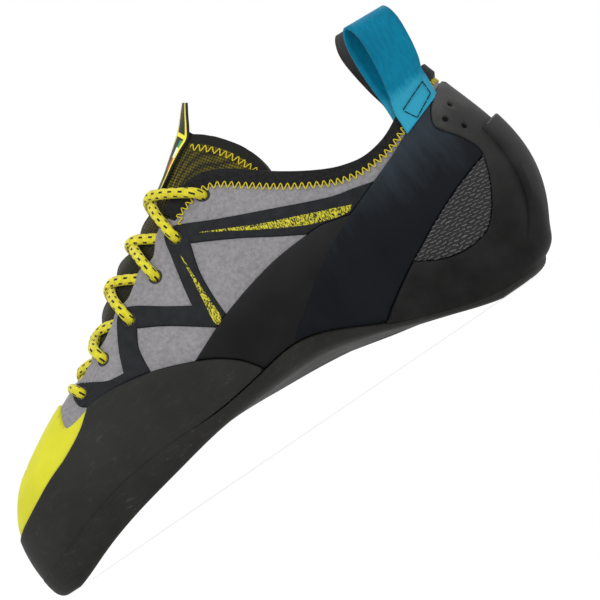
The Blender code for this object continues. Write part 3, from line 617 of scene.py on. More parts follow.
def rawPlace(material, kind="Object"):
    return node(material, "ShaderNodeTexCoord").outputs[kind]


def objectPlace(material, scale=(1, 1, 1), rotation=(0, 0, 0)):
    sockets = {"Vector": rawPlace(material), "Scale": scale, "Rotation": rotation}
    return node(material, "ShaderNodeMapping", sockets).outputs["Vector"]


def axesOf(material, vector):
    return node(material, "ShaderNodeSeparateXYZ", {"Vector": vector}).outputs


def edgeGap(material):  # millimetres from a free edge
    return node(material, "ShaderNodeAttribute", attribute_name="edgeGap").outputs["Fac"]


def noise(material, vector, scale, detail=4.0, rough=0.55):
    sockets = {"Vector": vector, "Scale": scale, "Detail": detail, "Roughness": rough}
    return node(material, "ShaderNodeTexNoise", sockets).outputs["Fac"]


def ramp(material, fac, stops):
    made = node(material, "ShaderNodeValToRGB", {"Fac": fac})
    bar = made.color_ramp
    while len(bar.elements) < len(stops):
        bar.elements.new(0.5)
    for element, (place, colour) in zip(bar.elements, stops):
        element.position = place
        element.color = (*colour, 1.0)
    return made.outputs["Color"]


def tint(material, fac, stops):
    wire(material, ramp(material, fac, stops), shaderOf(material).inputs["Base Color"])


def remap(material, fac, low, high, toLow, toHigh):
    sockets = {"Value": fac, "From Min": low, "From Max": high, "To Min": toLow, "To Max": toHigh}
    return node(material, "ShaderNodeMapRange", sockets).outputs["Result"]


def maths(material, operation, a, b=0.0):
    return node(material, "ShaderNodeMath", {0: a, 1: b}, operation=operation).outputs["Value"]


def blend(material, a, shareA, b, shareB):
    return maths(material, "ADD", maths(material, "MULTIPLY", a, shareA), maths(material, "MULTIPLY", b, shareB))


def bump(material, height, strength, distance=0.0002):
    made = node(material, "ShaderNodeBump", {"Height": height, "Strength": strength, "Distance": distance})
    wire(material, made.outputs["Normal"], shaderOf(material).inputs["Normal"])


def higher(material, low, high, toLow, toHigh):  # a value that changes with height
    height = axesOf(material, objectPlace(material))["Z"]
    return remap(material, height, low * mm, high * mm, toLow, toHigh)


def rubberFinish(name, dark, pale, rough, grain=0.3, specular=0.1, deep=None, scuffAndHighlight=None, scuff=0.0, seam=0.0):
    made = finish(name, dark, rough, specular)
    place = objectPlace(made)
    cloud = noise(made, place, 55.0, 5.0, 0.6)
    fac = cloud
    if deep:  # painted light and shade: paler higher up, darker lower down, as lit from above
        fac = maths(made, "ADD", maths(made, "MULTIPLY", cloud, 0.5), higher(made, *deep))
    if scuff:  # pale streaks along the edge
        streaks = noise(made, objectPlace(made, (0.3, 1, 1), (0, 0.1, 0)), 640.0, 4.0, 0.65)
        fac = maths(made, "ADD", fac, remap(made, streaks, 0.56, 0.74, 0.0, scuff))
    if seam:  # painted shade: darker along a free edge, where the rand meets the parts beside it
        fac = maths(made, "ADD", fac, remap(made, edgeGap(made), 0.15, 0.9, -seam, 0.0))
    # the palest stop holds pale scuffs and the painted highlight up high; the darkest holds painted shade low down and
    # along edges
    stops = [(0.0, tuple(0.25 * c for c in dark)), (0.3, dark), (0.75, pale)] + ([(0.88, scuffAndHighlight)] if scuffAndHighlight else [])
    tint(made, fac, stops)
    wire(made, remap(made, cloud, 0.3, 0.8, rough - 0.08, rough + 0.1), shaderOf(made).inputs["Roughness"])
    bump(made, noise(made, place, 900.0, 3.0, 0.6), grain)
    return made


rubbers = {
    # randRubber: seam paints a line of shade along the rand's free edges
    "randRubber": {"dark": (0.014, 0.014, 0.0134), "pale": (0.0235, 0.0235, 0.022), "scuffAndHighlight": (0.034, 0.034, 0.032),
                   "rough": 0.58, "scuff": 0.35, "seam": 0.5},
    # heelRubber: deep paints light and shade with height, and its palest stop is a painted highlight
    "heelRubber": {"dark": (0.0062, 0.0062, 0.006), "pale": (0.030, 0.030, 0.0295), "scuffAndHighlight": (0.056, 0.056, 0.055),
                   "rough": 0.58, "specular": 0.08, "deep": (22, 78, 0.1, 0.61)},
    "soleRubber": {"dark": (0.012, 0.012, 0.011), "pale": (0.0235, 0.023, 0.0215), "scuffAndHighlight": (0.042, 0.041, 0.039),
                   "rough": 0.62, "grain": 0.35, "scuff": 0.42},
    # panelRubber: deep paints light and shade with height
    "panelRubber": {"dark": (0.0062, 0.0062, 0.0066), "pale": (0.016, 0.0162, 0.017),
                    "rough": 0.5, "grain": 0.2, "specular": 0.07, "deep": (48, 64, 0.15, 0.5)},
}
randRubber, heelRubber, soleRubber, panelRubber = (rubberFinish(name, **look) for name, look in rubbers.items())

looks = {  # base colour; roughness, specular and sheen; stops of colour; noises of the colour and of the relief
    # bandRubber's palest, bluest stop is a painted highlight along the band's top
    "bandRubber": {"base": (0.008, 0.011, 0.015), "shine": (0.5, 0.07, 0.0), "stops": [
        (0.28, (0.0036, 0.0044, 0.0066)), (0.52, (0.0062, 0.0076, 0.0102)), (0.88, (0.028, 0.038, 0.048))]},
    "suede": {"base": (0.205, 0.198, 0.206), "shine": (0.92, 0.12, 0.1), "stops": [
        (0.32, (0.155, 0.150, 0.157)), (0.5, (0.212, 0.206, 0.214)), (0.7, (0.275, 0.268, 0.278))],
        "clouds": [(620.0, 5.0, 0.7, 0.8), (30.0, 3.0, 0.5, 0.2)], "grain": (1500.0, 4.0, 0.7), "relief": (0.35, 0.0003)},
    "capFilm": {"base": (0.54, 0.525, 0.02), "shine": (0.5, 0.15, 0.0), "stops": [
        (0.3, (0.48, 0.472, 0.015)), (0.55, (0.545, 0.53, 0.02)), (0.8, (0.60, 0.585, 0.034))],
        "clouds": [(45.0, 4.0, 0.6, 1.0)], "grain": (800.0, 3.0, 0.6), "relief": (0.25, 0.0002)},
    "stayFilm": {"base": (0.012, 0.0135, 0.0155), "shine": (0.6, 0.1, 0.0), "stops": [
        (0.3, (0.0085, 0.0095, 0.011)), (0.7, (0.0155, 0.0172, 0.0195))]},
    "speckFilm": {"base": (0.6, 0.56, 0.04), "shine": (0.55, 0.2, 0.0), "stops": [
        (0.43, (0.016, 0.016, 0.008)), (0.5, (0.36, 0.32, 0.015)), (0.66, (0.56, 0.52, 0.03))]},
    "patchRubber": {"base": (0.05, 0.05, 0.05), "shine": (0.45, 0.3, 0.0), "stops": [
        (0.1, (0.105, 0.105, 0.105)), (0.45, (0.045, 0.045, 0.046)), (0.9, (0.007, 0.007, 0.007))]},
    "knit": {"base": (0.009, 0.009, 0.0095), "shine": (0.85, 0.12, 0.08), "stops": [
        (0.3, (0.006, 0.006, 0.0065)), (0.7, (0.015, 0.015, 0.016))],
        "clouds": [(900.0, 3.0, 0.5, 1.0)], "grain": (900.0, 3.0, 0.5), "relief": (0.5, 0.0003)},
    "tongueMesh": {"base": (0.02, 0.02, 0.012), "shine": (0.8, 0.15, 0.1), "stops": [
        (0.0, (0.009, 0.009, 0.008)), (0.5, (0.075, 0.062, 0.006)), (1.0, (0.25, 0.205, 0.011))]},
    # blueRibbon's palest stop is a painted highlight at the loop's base
    "blueRibbon": {"base": (0.0003, 0.122, 0.212), "shine": (0.55, 0.07, 0.0), "stops": [
        (0.35, (0.0003, 0.122, 0.212)), (0.65, (0.001, 0.18, 0.30)), (0.92, (0.024, 0.27, 0.40))]},
    "greyRibbon": {"base": (0.020, 0.020, 0.020), "shine": (0.55, 0.07, 0.0), "stops": [
        (0.35, (0.020, 0.020, 0.020)), (0.65, (0.040, 0.039, 0.038))]},
    "insoleBoard": {"base": (0.20, 0.20, 0.195), "shine": (0.9, 0.2, 0.2), "stops": [
        (0.3, (0.15, 0.15, 0.145)), (0.7, (0.26, 0.26, 0.25))],
        "clouds": [(600.0, 4.0, 0.55, 1.0)]},
    "laceBraid": {"base": (0.78, 0.70, 0.02), "shine": (0.7, 0.3, 0.1), "stops": [
        (0.1, (0.50, 0.43, 0.008)), (0.24, (0.70, 0.64, 0.022)), (0.5, (0.010, 0.010, 0.008)),
        (1.0, (0.008, 0.008, 0.006))]},
    "tabRibbon": {"base": (0.012, 0.012, 0.012), "shine": (0.6, 0.25, 0.1), "stops": [
        (0.0, (0.010, 0.010, 0.010)), (0.21, (0.50, 0.035, 0.02)), (0.33, (0.70, 0.70, 0.68)), (0.43, (0.02, 0.24, 0.09)),
        (0.52, (0.010, 0.010, 0.010)), (0.545, (0.72, 0.66, 0.03)), (0.60, (0.010, 0.010, 0.010))]},
}


def lookOf(name):
    look = looks[name]
    return finish(name, look["base"], *look["shine"]), look["stops"]


def bandFinish():
    made, stops = lookOf("bandRubber")
    place = objectPlace(made)
    brushed = noise(made, objectPlace(made, (60, 60, 9), (0, 0.45, 0)), 1.6, 5.0, 0.65)
    mixed = blend(made, brushed, 0.5, noise(made, place, 22.0, 4.0, 0.6), 0.25)
    mixed = maths(made, "ADD", mixed, higher(made, 42, 70, 0.0, 0.4))  # painted highlight: paler and bluer higher up, which is towards the heel
    tint(made, mixed, stops)
    wire(made, remap(made, mixed, 0.3, 0.8, 0.45, 0.6), shaderOf(made).inputs["Roughness"])
    bump(made, noise(made, place, 700.0, 3.0), 0.2)
    return made


def mottledFinish(name):  # clouds of colour under a fine grain
    made, stops = lookOf(name)
    look, place, fac = looks[name], objectPlace(made), 0.0
    for scale, detail, rough, share in look["clouds"]:
        fac = maths(made, "ADD", fac, maths(made, "MULTIPLY", noise(made, place, scale, detail, rough), share))
    tint(made, fac, stops)
    if "grain" in look:
        bump(made, noise(made, place, *look["grain"]), *look["relief"])
    return made


def stayFinish():
    made, stops = lookOf("stayFilm")
    place = objectPlace(made)
    tint(made, noise(made, place, 260.0, 4.0, 0.65), stops)
    ribs = maths(made, "SINE", maths(made, "MULTIPLY", edgeGap(made), 4.4))  # lengthwise ribs
    bump(made, blend(made, ribs, 0.22, noise(made, place, 1100.0, 3.0, 0.6), 1.0), 0.4, 0.0003)
    return made


def speckFinish():
    made, stops = lookOf("speckFilm")
    speck = noise(made, objectPlace(made, (1.0, 0.3, 0.42), (0, -0.5, 0)), 2300.0, 2.0, 0.5)
    tint(made, speck, stops)
    bump(made, speck, 0.3, 0.0003)
    return made


def patchFinish():
    made, stops = lookOf("patchRubber")
    flat = {"Vector": objectPlace(made, (1, 0, 1), (0, -0.12, 0)), "Rotation": (math.radians(90), 0, 0)}
    turned = node(made, "ShaderNodeMapping", flat).outputs["Vector"]
    stray = noise(made, objectPlace(made), 260.0, 2.0).node.outputs["Color"]  # rows wander a little
    rows = node(made, "ShaderNodeVectorMath", {0: stray, 1: (0.0022, 0.0022, 0.0), 2: turned}, operation="MULTIPLY_ADD")
    sizes = {"Scale": 185.0, "Mortar Size": 0.11, "Mortar Smooth": 0.6, "Brick Width": 0.62, "Row Height": 0.24}
    ticks = node(made, "ShaderNodeTexBrick", {"Vector": rows.outputs["Vector"], **sizes}).outputs["Fac"]
    tint(made, ticks, stops)
    bump(made, maths(made, "SUBTRACT", 1.0, ticks), 0.9, 0.0009)
    return made


def meshFinish():  # open mesh over an olive ground, plain binding near the free edge
    made, stops = lookOf("tongueMesh")
    net = {"Vector": objectPlace(made, rotation=(0.35, 0.6, 0.2)), "Scale": 880.0, "Randomness": 0.1}
    dots = remap(made, node(made, "ShaderNodeTexVoronoi", net).outputs["Distance"], 0.62, 0.3, 0.0, 1.0)
    cloud = remap(made, noise(made, rawPlace(made), 60.0, 3.0), 0.35, 0.65, 0.45, 1.0)
    upper = remap(made, axesOf(made, rawPlace(made))["X"], -0.022, 0.002, 0.12, 0.9)  # plain and dark lower down
    clear = remap(made, edgeGap(made), 3.8, 4.2, 0.0, 1.0)
    depth = maths(made, "MULTIPLY", maths(made, "MULTIPLY", dots, cloud), maths(made, "MULTIPLY", upper, clear))
    tint(made, depth, stops)
    bump(made, depth, 0.5, 0.0003)
    return made


def ribbonFinish(name):
    made, stops = lookOf(name)
    weave = noise(made, objectPlace(made, (1, 1, 0.25)), 900.0, 2.0, 0.5)
    mixed = blend(made, weave, 0.45, noise(made, objectPlace(made), 40.0, 3.0), 0.55)
    if len(stops) > 2:  # painted highlight: paler low down, where it lies sewn down
        mixed = maths(made, "ADD", mixed, higher(made, 86, 92, 0.42, 0.0))
    tint(made, mixed, stops)
    bump(made, weave, 0.35)
    return made


def laceFinish(length):  # yellow braid with pairs of dark dashes
    made, stops = lookOf("laceBraid")
    flat = axesOf(made, rawPlace(made, "UV"))
    run, ring = maths(made, "MULTIPLY", flat["X"], length / 4.4), flat["Y"]
    rows = maths(made, "MULTIPLY", ring, 6.0)
    apart = maths(made, "ABSOLUTE", maths(made, "SUBTRACT", maths(made, "FRACT", rows), 0.5))
    shift = maths(made, "MULTIPLY", maths(made, "FLOOR", rows), 0.5)  # every other row half a step on
    inDash = maths(made, "LESS_THAN", maths(made, "FRACT", maths(made, "ADD", run, shift)), 0.4)
    dash = maths(made, "MULTIPLY", maths(made, "LESS_THAN", apart, 0.19), inDash)
    tint(made, blend(made, noise(made, rawPlace(made), 600.0, 3.0), 0.35, dash, 0.6), stops)
    strands = [maths(made, "SINE", blend(made, run, 38.0, ring, way * 69.1)) for way in (1, -1)]
    bump(made, maths(made, "MULTIPLY", *strands), 0.45, 0.00025)
    return made


def tabFinish():  # dark ribbon with yellow edges, a bar and three plain blocks
    made, stops = lookOf("tabRibbon")
    flat = axesOf(made, rawPlace(made, "UV"))
    dark, yellow = stops[0][1], stops[-2][1]
    blocks = ramp(made, flat["X"], stops)
    apart = maths(made, "ABSOLUTE", maths(made, "SUBTRACT", flat["Y"], 0.5))
    sides = ramp(made, apart, [(0.0, dark), (0.3, yellow), (0.43, dark)])
    for colour in (blocks, sides):
        colour.node.color_ramp.interpolation = "CONSTANT"
    low, inner = maths(made, "LESS_THAN", flat["X"], 0.53), maths(made, "LESS_THAN", flat["Y"], 0.62)
    plain = maths(made, "MULTIPLY", inner, low)  # the blocks lie along one edge
    colour = blocks
    for fac, other in ((plain, (*dark, 1.0)), (maths(made, "GREATER_THAN", apart, 0.3), sides)):
        mixed = node(made, "ShaderNodeMix", {"Factor": fac, "A": colour, "B": other}, data_type="RGBA")
        colour = mixed.outputs["Result"]
    wire(made, colour, shaderOf(made).inputs["Base Color"])
    bump(made, noise(made, rawPlace(made), 1400.0, 2.0), 0.3)
    return made


suede, capFilm, knit, board = (mottledFinish(name) for name in ("suede", "capFilm", "knit", "insoleBoard"))
blueRibbon, greyRibbon = ribbonFinish("blueRibbon"), ribbonFinish("greyRibbon")
bandRubber, stayFilm, speckFilm = bandFinish(), stayFinish(), speckFinish()
patchRubber, tongueMesh, tabRibbon = patchFinish(), meshFinish(), tabFinish()
stitchThread = finish("stitchThread", (0.50, 0.41, 0.02), 0.6, 0.2)
# black for the box stitches, and painted shade for the discs behind the ear holes
darkThreadAndHoleShade = finish("darkThreadAndHoleShade", (0.006, 0.006, 0.006), 0.7, 0.1)
rimFilm = finish("rimFilm", (0.024, 0.024, 0.025), 0.6, 0.2)
print("finishes made")

# panels of the upper
layers = {  # offset of each outer face from the last, millimetres
    "cap": 1.0,
    "rand": 2.15,
    "stay": 0.75,
    "panel": 1.35,
    "band": 1.45,
    "patch": 1.75,
    "cup": 1.95,
    "strip": 4.7,
    "wall": 2.0,
    "tongue": -2.35,
    "tonguePad": 2.8,
}


def lineEnds(side):
    return {
        "capToe": heightOn(half, side, borders["capEnd"]),
        "earHeel": heightOn(0.0, side, borders["earEnd"]),
        "seamHeel": heightOn(0.0, side, borders["seamEnd"]),
        "cuffHeel": heightOn(0.0, side, borders["cuffEnd"]),
    }


def drop(place):  # the spot on the feather edge below or beside a place
    return place[0], 0.0


def ringOf(x, z, side, radius, count):  # a round hole's outline
    place = onSide([(x, z)], side)
    dq, dv = stretchAt(place[:, 0], place[:, 1], side)
    slopes = np.stack([dq[0], dv[0]], axis=1)
    out = normalsAt(place, side)[0]
    east = unit(np.cross(out, upright))
    north = np.cross(east, out)
    ring = []
    for k in range(count):
        a = 2 * math.pi * k / count
        move = radius * (math.cos(a) * east + math.sin(a) * north)
        ring.append(place[0] + np.linalg.lstsq(slopes, move, rcond=None)[0])
    return np.array(ring)


heelStrip = {
    "edge": [(21.5, 10.5), (20.2, 14), (18.6, 21), (18.0, 30), (18.0, 40), (17.2, 50), (16.4, 58.5)],  # y and z
    "crown": 59.9, "swell": 15.0,  # its top, and how far up the cup swells
    "fade": [13.0, 29.0], "slope": (15.0, 14.1),  # heights where its sides turn sharp; their run and how much it shortens
    "heel": 1.25, "heelAt": 11.5, "heelWidth": 3.6,  # more at the heel's corner
    "lipGap": 0.08, "sunk": 0.05, "least": 0.08,
}


def freeRuns(*lines):
    return [(line, True) for line in lines]


def heldRuns(*lines):
    return [(line, False) for line in lines]


def panelRuns(side):
    ends = lineEnds(side)
    heel, toe, toeTop = (0.0, 0.0), (half, 0.0), (half, 1.0)
    b = {name: border(name, side) for name in borders if isinstance(borders[name], list)}
    capLow, capRear = leadIn(ends["capToe"], b["capLow"]), carryOn(b["capRear"], crestAt(borders["capCrest"]))
    earTop, seam = carryOn(b["earTop"], ends["earHeel"]), carryOn(b["cuffSeam"], ends["seamHeel"])
    randFoot, bandFoot, cupFoot = (drop(b[name][-1]) for name in ("randRear", "bandFront", "cupFront"))
    randRear, bandFront = carryOn(b["randRear"], randFoot), carryOn(b["bandFront"], bandFoot)
    cupFront = carryOn(b["cupFront"], cupFoot)
    throat = np.vstack([[(b["throat"][0][0], 1.0)], b["throat"]])
    ridgeFront = (onSide([borders["tongueFront"]], side)[0][0], 1.0)
    ridgeRear = crestAt(borders["tongueRear"])
    back = onSide(smoothLine([(side * y, z) for y, z in heelStrip["edge"]]), side, (1, 2), 2.4)
    crown = heightOn(0.0, side, heelStrip["crown"])
    return {
        "cap": freeRuns(capLow, capRear) + heldRuns(straight(capRear[-1], toeTop), straight(toeTop, ends["capToe"])),
        "rand": heldRuns(straight(toe, randFoot)) + freeRuns(randRear[::-1], b["randSide"][::-1], capLow[::-1])
        + heldRuns(straight(ends["capToe"], toe)),
        "panel": freeRuns(b["panelTop"]) + heldRuns(bandFront, straight(bandFoot, randFoot)) + freeRuns(randRear[::-1]),
        "band": freeRuns(b["bandTop"], b["earFront"], b["patchTop"], cupFront)
        + heldRuns(straight(cupFoot, bandFoot), bandFront[::-1]) + freeRuns(b["bandTip"][::-1]),
        "patch": freeRuns(b["patchTop"], b["patchLow"]),
        "cup": freeRuns(b["patchLow"], b["earFront"][::-1], earTop)
        + heldRuns(straight(ends["earHeel"], heel), straight(heel, cupFoot)) + freeRuns(cupFront[::-1]),
        "stay": freeRuns(border("randSide", side, (-72, -44.5)), b["stayFront"], b["staySecond"],
                         border("panelTop", side, (-14, -8)), b["stayThird"], b["stayLong"],
                         border("panelTop", side, (35, 53)), b["bandTip"][::-1], border("bandTop", side, (57, 68)),
                         b["stayTop"], b["stayNotch"], b["stayStep"], b["stayToe"]),
        "stripeLong": freeRuns(b["stripeLong"], b["stripeUnder"]),
        "stripeShort": freeRuns(b["stripeShort"]),
        "upper": freeRuns(throat, seam) + heldRuns(straight(ends["seamHeel"], heel), straight(heel, toe),
                                                   straight(toe, toeTop), straight(toeTop, throat[0])),
        "tongue": freeRuns(leadIn(ridgeRear, b["tongueTop"]))
        + heldRuns(b["tongueLow"], straight(b["tongueLow"][-1], ridgeFront)[1:], straight(ridgeFront, ridgeRear)),
        "strip": heldRuns(straight(heel, drop(back[0])))
        + freeRuns(straight(drop(back[0]), back[0]), back, straight(back[-1], crown)) + heldRuns(straight(crown, heel)),
        "cuffLines": (seam, carryOn(b["cuffTop"], ends["cuffHeel"])),
    }


runsOf = {side: panelRuns(side) for side in bothSides}
punch = {"radius": 2.3, "count": 16}
eyeletRings = {side: [ringOf(x, z, side, punch["radius"], punch["count"]) for x, z in eyelets] for side in bothSides}
print("borders laid")


def panel(name, key, material, slotName, nodes, lift, sides=bothSides, holes=None, wall=0.0, **mesh):
    pieces = [patch(runsOf[side][key], side, holes[side] if holes else (), **mesh) for side in sides]
    return joinPatches(name, pieces, lift, material, nodes, wall)


def level(key, soft=0.9):  # a face at the height of its layer
    return lambda piece: stepUp(piece, layers[key], soft)


def pairOf(name, solid, key, material, slotName, soft=0.9, holes=None):
    for side, word in sideName.items():
        nodes = [solid + "_" + word]
        panel(name + word.capitalize(), key, material, slotName, nodes, level(key, soft), [side], holes)


toeFace = {"thin": 0.7, "thinAt": -112.5, "thinWidth": 6.5, "full": 0.45, "fullAt": 30.0, "fullWidth": 5.0}


def capFace(piece):  # thin over the knuckle, fuller at the tip
    x, _, z = piece["spots"].T
    thin = toeFace["thin"] * bell(x, toeFace["thinAt"], toeFace["thinWidth"])
    return layers["cap"] - thin + toeFace["full"] * bell(z, toeFace["fullAt"], toeFace["fullWidth"])


panel("suedeUpper", "upper", suede, "suede", ["upper"], lambda p: 0.0 * p["gap"], holes=eyeletRings, wall=layers["wall"])
panel("toeCap", "cap", capFilm, "yellow_film", ["toe_cap"], lambda p: stepUp(p, capFace(p)))
panel("toeRand", "rand", randRubber, "rand_rubber", ["toe_rand"], level("rand", 1.3))
pairOf("sidePanel", "side_panel", "panel", panelRubber, "panel_rubber")
pairOf("archBand", "arch_band", "band", bandRubber, "band_rubber")
pairOf("heelPatch", "heel_patch", "patch", patchRubber, "rand_rubber")
ear = {"holes": [(108.2, 73.2), (103.8, 69.5), (108.2, 63.2)], "radius": 1.05, "count": 12,
       "back": 0.3, "spare": 0.4, "mesh": {"grid": (0.05, 0.014), "rings": (0.3,)}}  # painted shade: dark discs behind the holes stand for the shade inside them


def earRings(side, radius):
    return [ringOf(x, z, side, radius, ear["count"]) for x, z in ear["holes"]]


def cupFace(piece):  # swells to meet the sole's rim
    u = turn(piece["places"][:, 0], piece["side"])
    height = np.linalg.norm(piece["spots"] - bare(u, 0 * u), axis=1)
    share = np.clip(1 - height / heelStrip["swell"], 0.0, 1.0)
    more = np.maximum(curves["lip"](u)[:, 0] - heelStrip["lipGap"] - layers["cup"], 0.0)
    return layers["cup"] + more * eased(share)


panel("heelCup", "cup", heelRubber, "rand_rubber", ["heel_cup"], lambda p: stepUp(p, cupFace(p), 1.2),
      holes={side: earRings(side, ear["radius"]) for side in bothSides})
# painted shade: a dark disc behind each ear hole
holeShadeDiscs = [patch(freeRuns(closed(ring)), side, **ear["mesh"])
         for side in bothSides for ring in earRings(side, ear["radius"] + ear["spare"])]
joinPatches("earHoleShadeDiscs", holeShadeDiscs, lambda p: 0.0 * p["gap"] + ear["back"], darkThreadAndHoleShade)


def stripLift(piece):  # its sides run out towards the sole
    z = piece["spots"][:, 2]
    sharp = np.interp(z, heelStrip["fade"], [0.0, 1.0])
    share = np.clip(piece["gap"] / (heelStrip["slope"][0] - heelStrip["slope"][1] * sharp), 0.0, 1.0)
    rise = sharp * domed(share) + (1 - sharp) * eased(share)
    foot = cupFace(piece) - heelStrip["sunk"]
    full = layers["strip"] + heelStrip["heel"] * bell(z, heelStrip["heelAt"], heelStrip["heelWidth"])
    return foot + np.where(piece["gap"] < onEdge, 0.0, rise) * np.maximum(full - foot, heelStrip["least"])


panel("heelStrip", "strip", heelRubber, "rand_rubber", ["heel_strip"], stripLift)
stayHoles = {side: eyeletRings[side][1::2] for side in bothSides}
pairOf("eyestay", "eyestay", "stay", stayFilm, "dark_film", 0.6, stayHoles)
stripe = {"edge": -0.05, "face": 0.12, "mesh": {"grid": (0.05, 0.014), "rings": (0.2,)}}  # thin film on the eyestay


def stripeLift(piece):
    return layers["stay"] + np.where(piece["gap"] < onEdge, stripe["edge"], stripe["face"])


for side, word in sideName.items():
    for key in ("stripeLong", "stripeShort"):
        panel(key + word.capitalize(), key, speckFilm, "yellow_film", [], stripeLift, [side], **stripe["mesh"])
print("panels laid")

# tongue, swelling between the lace bars
tongueForm = {
    "crests": [(-61.2, 0.7), (-47.6, 1.4), (-31.6, 1.75), (-15.4, 1.6), (2, 1.6), (14, 0.9)],
    "dips": [(-67.2, 1.6), (-55.2, 2.2), (-39.6, 1.2), (-23.3, 0.8)],  # under the lace
    "width": 5.6, "dipWidth": 3.6, "crownFrom": 0.86, "crownRun": 0.1,
    "binding": 0.5, "bindingEnd": 4.4, "bindingSlope": 0.6,
    "mesh": {"grid": (0.05, 0.016), "rings": (0.3, 3.6, 4.5)},
}


def tongueLift(piece):
    x, form = piece["spots"][:, 0], tongueForm
    swell = np.zeros(len(x))
    for place, height in form["crests"]:
        swell = np.maximum(swell, height * bell(x, place, form["width"]))
    for place, depth in form["dips"]:
        swell -= depth * bell(x, place, form["dipWidth"])
    crown = np.clip((piece["places"][:, 1] - form["crownFrom"]) / form["crownRun"], 0.0, 1.0)
    edge = np.clip((form["bindingEnd"] - piece["gap"]) / form["bindingSlope"], 0.0, 1.0) * form["binding"]
    return layers["tongue"] + swell * eased(crown) + edge


tongue = panel("tonguePad", "tongue", tongueMesh, "knit", ["tongue"], tongueLift, wall=layers["tonguePad"],
               **tongueForm["mesh"])

# collar cuff, a folded band round the ankle; share of the way up and offset from the last
cuff = {
    "count": 260, "back": 2.0, "backWidth": 0.9, "backFrom": 0.25, "backDepth": -1.2,  # fuller behind the heel
    "outer": [(0.0, -0.6), (0.02, 0.25), (0.3, 0.35), (0.75, 0.3)],
    "inner": [(0.75, -2.0), (0.3, -2.1), (0.0, -2.1)],
    "fold": (0.12, 1.15, -0.85), "foldFrom": 0.2, "foldCount": 7,  # height, half depth and middle of the fold
}


def along(line, count, side):  # places spaced evenly along a line
    reach = reachOf(spotsAt(line, side))
    share = np.linspace(0.0, reach[-1], count)
    return np.stack([np.interp(share, reach, column) for column in line.T], axis=1)


def loft(bm, rows):  # a grid of rows of points
    rows = np.array(rows)
    most = np.array(rows.shape[:2]) - 1
    made = bmesh.ops.create_grid(bm, x_segments=most[0], y_segments=most[1], size=1.0, calc_uvs=True)["verts"]
    for vert in made:
        i, j = (round((place + 1) / 2 * count) for place, count in zip(vert.co, most))
        vert.co = rows[i, j] * mm


def closeUp(bm, merge=1e-6):  # seams merged, faces outwards
    bmesh.ops.remove_doubles(bm, verts=bm.verts, dist=merge)
    bmesh.ops.recalc_face_normals(bm, faces=bm.faces)


def makeCuff():
    bm = bmesh.new()
    high, deep, middle = cuff["fold"]
    angles = np.linspace(cuff["foldFrom"], math.pi - cuff["foldFrom"], cuff["foldCount"])
    fold = [(1.0 + high * math.sin(a), middle + deep * math.cos(a)) for a in angles]
    for side in bothSides:
        seam, top = (along(line, cuff["count"], side) for line in runsOf[side]["cuffLines"])
        rows = []
        for share, offset in cuff["outer"] + fold + cuff["inner"]:
            place = seam + share * (top - seam)
            full = cuff["back"] * bell(place[:, 0], 0.0, cuff["backWidth"])
            full *= (share > cuff["backFrom"]) * (offset > cuff["backDepth"])
            place[:, 1] = np.minimum(place[:, 1], underTop)
            rows.append(layerAt(place, side, offset + full))
        loft(bm, rows)
    closeUp(bm, joins["seam"])
    newPiece("collarCuff", bm, knit, ["collar_cuff"])


makeCuff()
print("tongue and cuff made")

# sole and insole
sole = {
    "gap": 0.06, "crease": 0.9, "creaseEnds": [-50.0, -32.0, 40.0, 62.0],  # under the panels, deeper along the arch
    "rim": 4.4, "floor": 4.2, "inset": 7.0, "lip": 0.5, "count": 240, "across": 12, "merge": 2e-5,
    "side": [(0.02, 0.04), (0.04, 0.15), (0.1, 0.36), (0.22, 0.62), (0.34, 0.76), (0.55, 0.9), (0.8, 0.975)],
}
insole = {"thick": 1.8, "inset": 0.8, "over": 0.4, "bevel": (0.3, 0.4)}


def soleRings():
    u = np.linspace(0.0, turns, sole["count"], endpoint=False)
    zero = 0 * u
    foot = bare(u, zero)
    rise = unit(bare(u, zero + 0.1) - foot)
    out = unit(np.cross(rise, np.roll(foot, -1, 0) - np.roll(foot, 1, 0)))
    gap, crease = sole["gap"], sole["crease"]
    rim = foot - np.interp(foot[:, 0], sole["creaseEnds"], [gap, crease, crease, gap])[:, None] * rise
    lip = rim + curves["lip"](u) * out
    tread = curves["tread"](u)
    tread[:, 2] = np.maximum(tread[:, 2], 0.0)
    level = unit(curves["out"](u))
    floor = tread - sole["inset"] * level
    floor[:, 2] = tread[:, 2] + sole["floor"]
    rings = [floor, rim - sole["rim"] * out, rim + (curves["lip"](u) - sole["lip"]) * out, lip]
    for plan, height in sole["side"]:
        ring = lip + plan * (tread - lip)
        ring[:, 2] = lip[:, 2] + height * (tread[:, 2] - lip[:, 2])
        rings.append(ring)
    return rings + [tread], level


def rungs(ring):  # points from side to side across a closed ring
    total, share = len(ring), np.linspace(0.0, 1.0, sole["across"])
    pairs = [(ring[k], ring[(total - k) % total]) for k in range(total // 2 + 1)]
    return [[a + (b - a) * s for s in share] for a, b in pairs]


def makePlate(name, rings, material, node):  # rings, with the first and the last filled in
    bm = bmesh.new()
    loft(bm, [closed(ring) for ring in rings])
    loft(bm, rungs(rings[0]))
    loft(bm, rungs(rings[-1]))
    closeUp(bm, sole["merge"])
    newPiece(name, bm, material, [node])


def makeSole():
    rings, level = soleRings()
    makePlate("rubberSole", rings, soleRubber, "outsole")
    under = rings[0] - insole["inset"] * level + insole["over"] * upright
    over = under + insole["thick"] * upright
    down, back = insole["bevel"]
    makePlate("insoleBoard", [under, over - down * upright, over - back * level], board, "insole")


makeSole()
print("sole made")

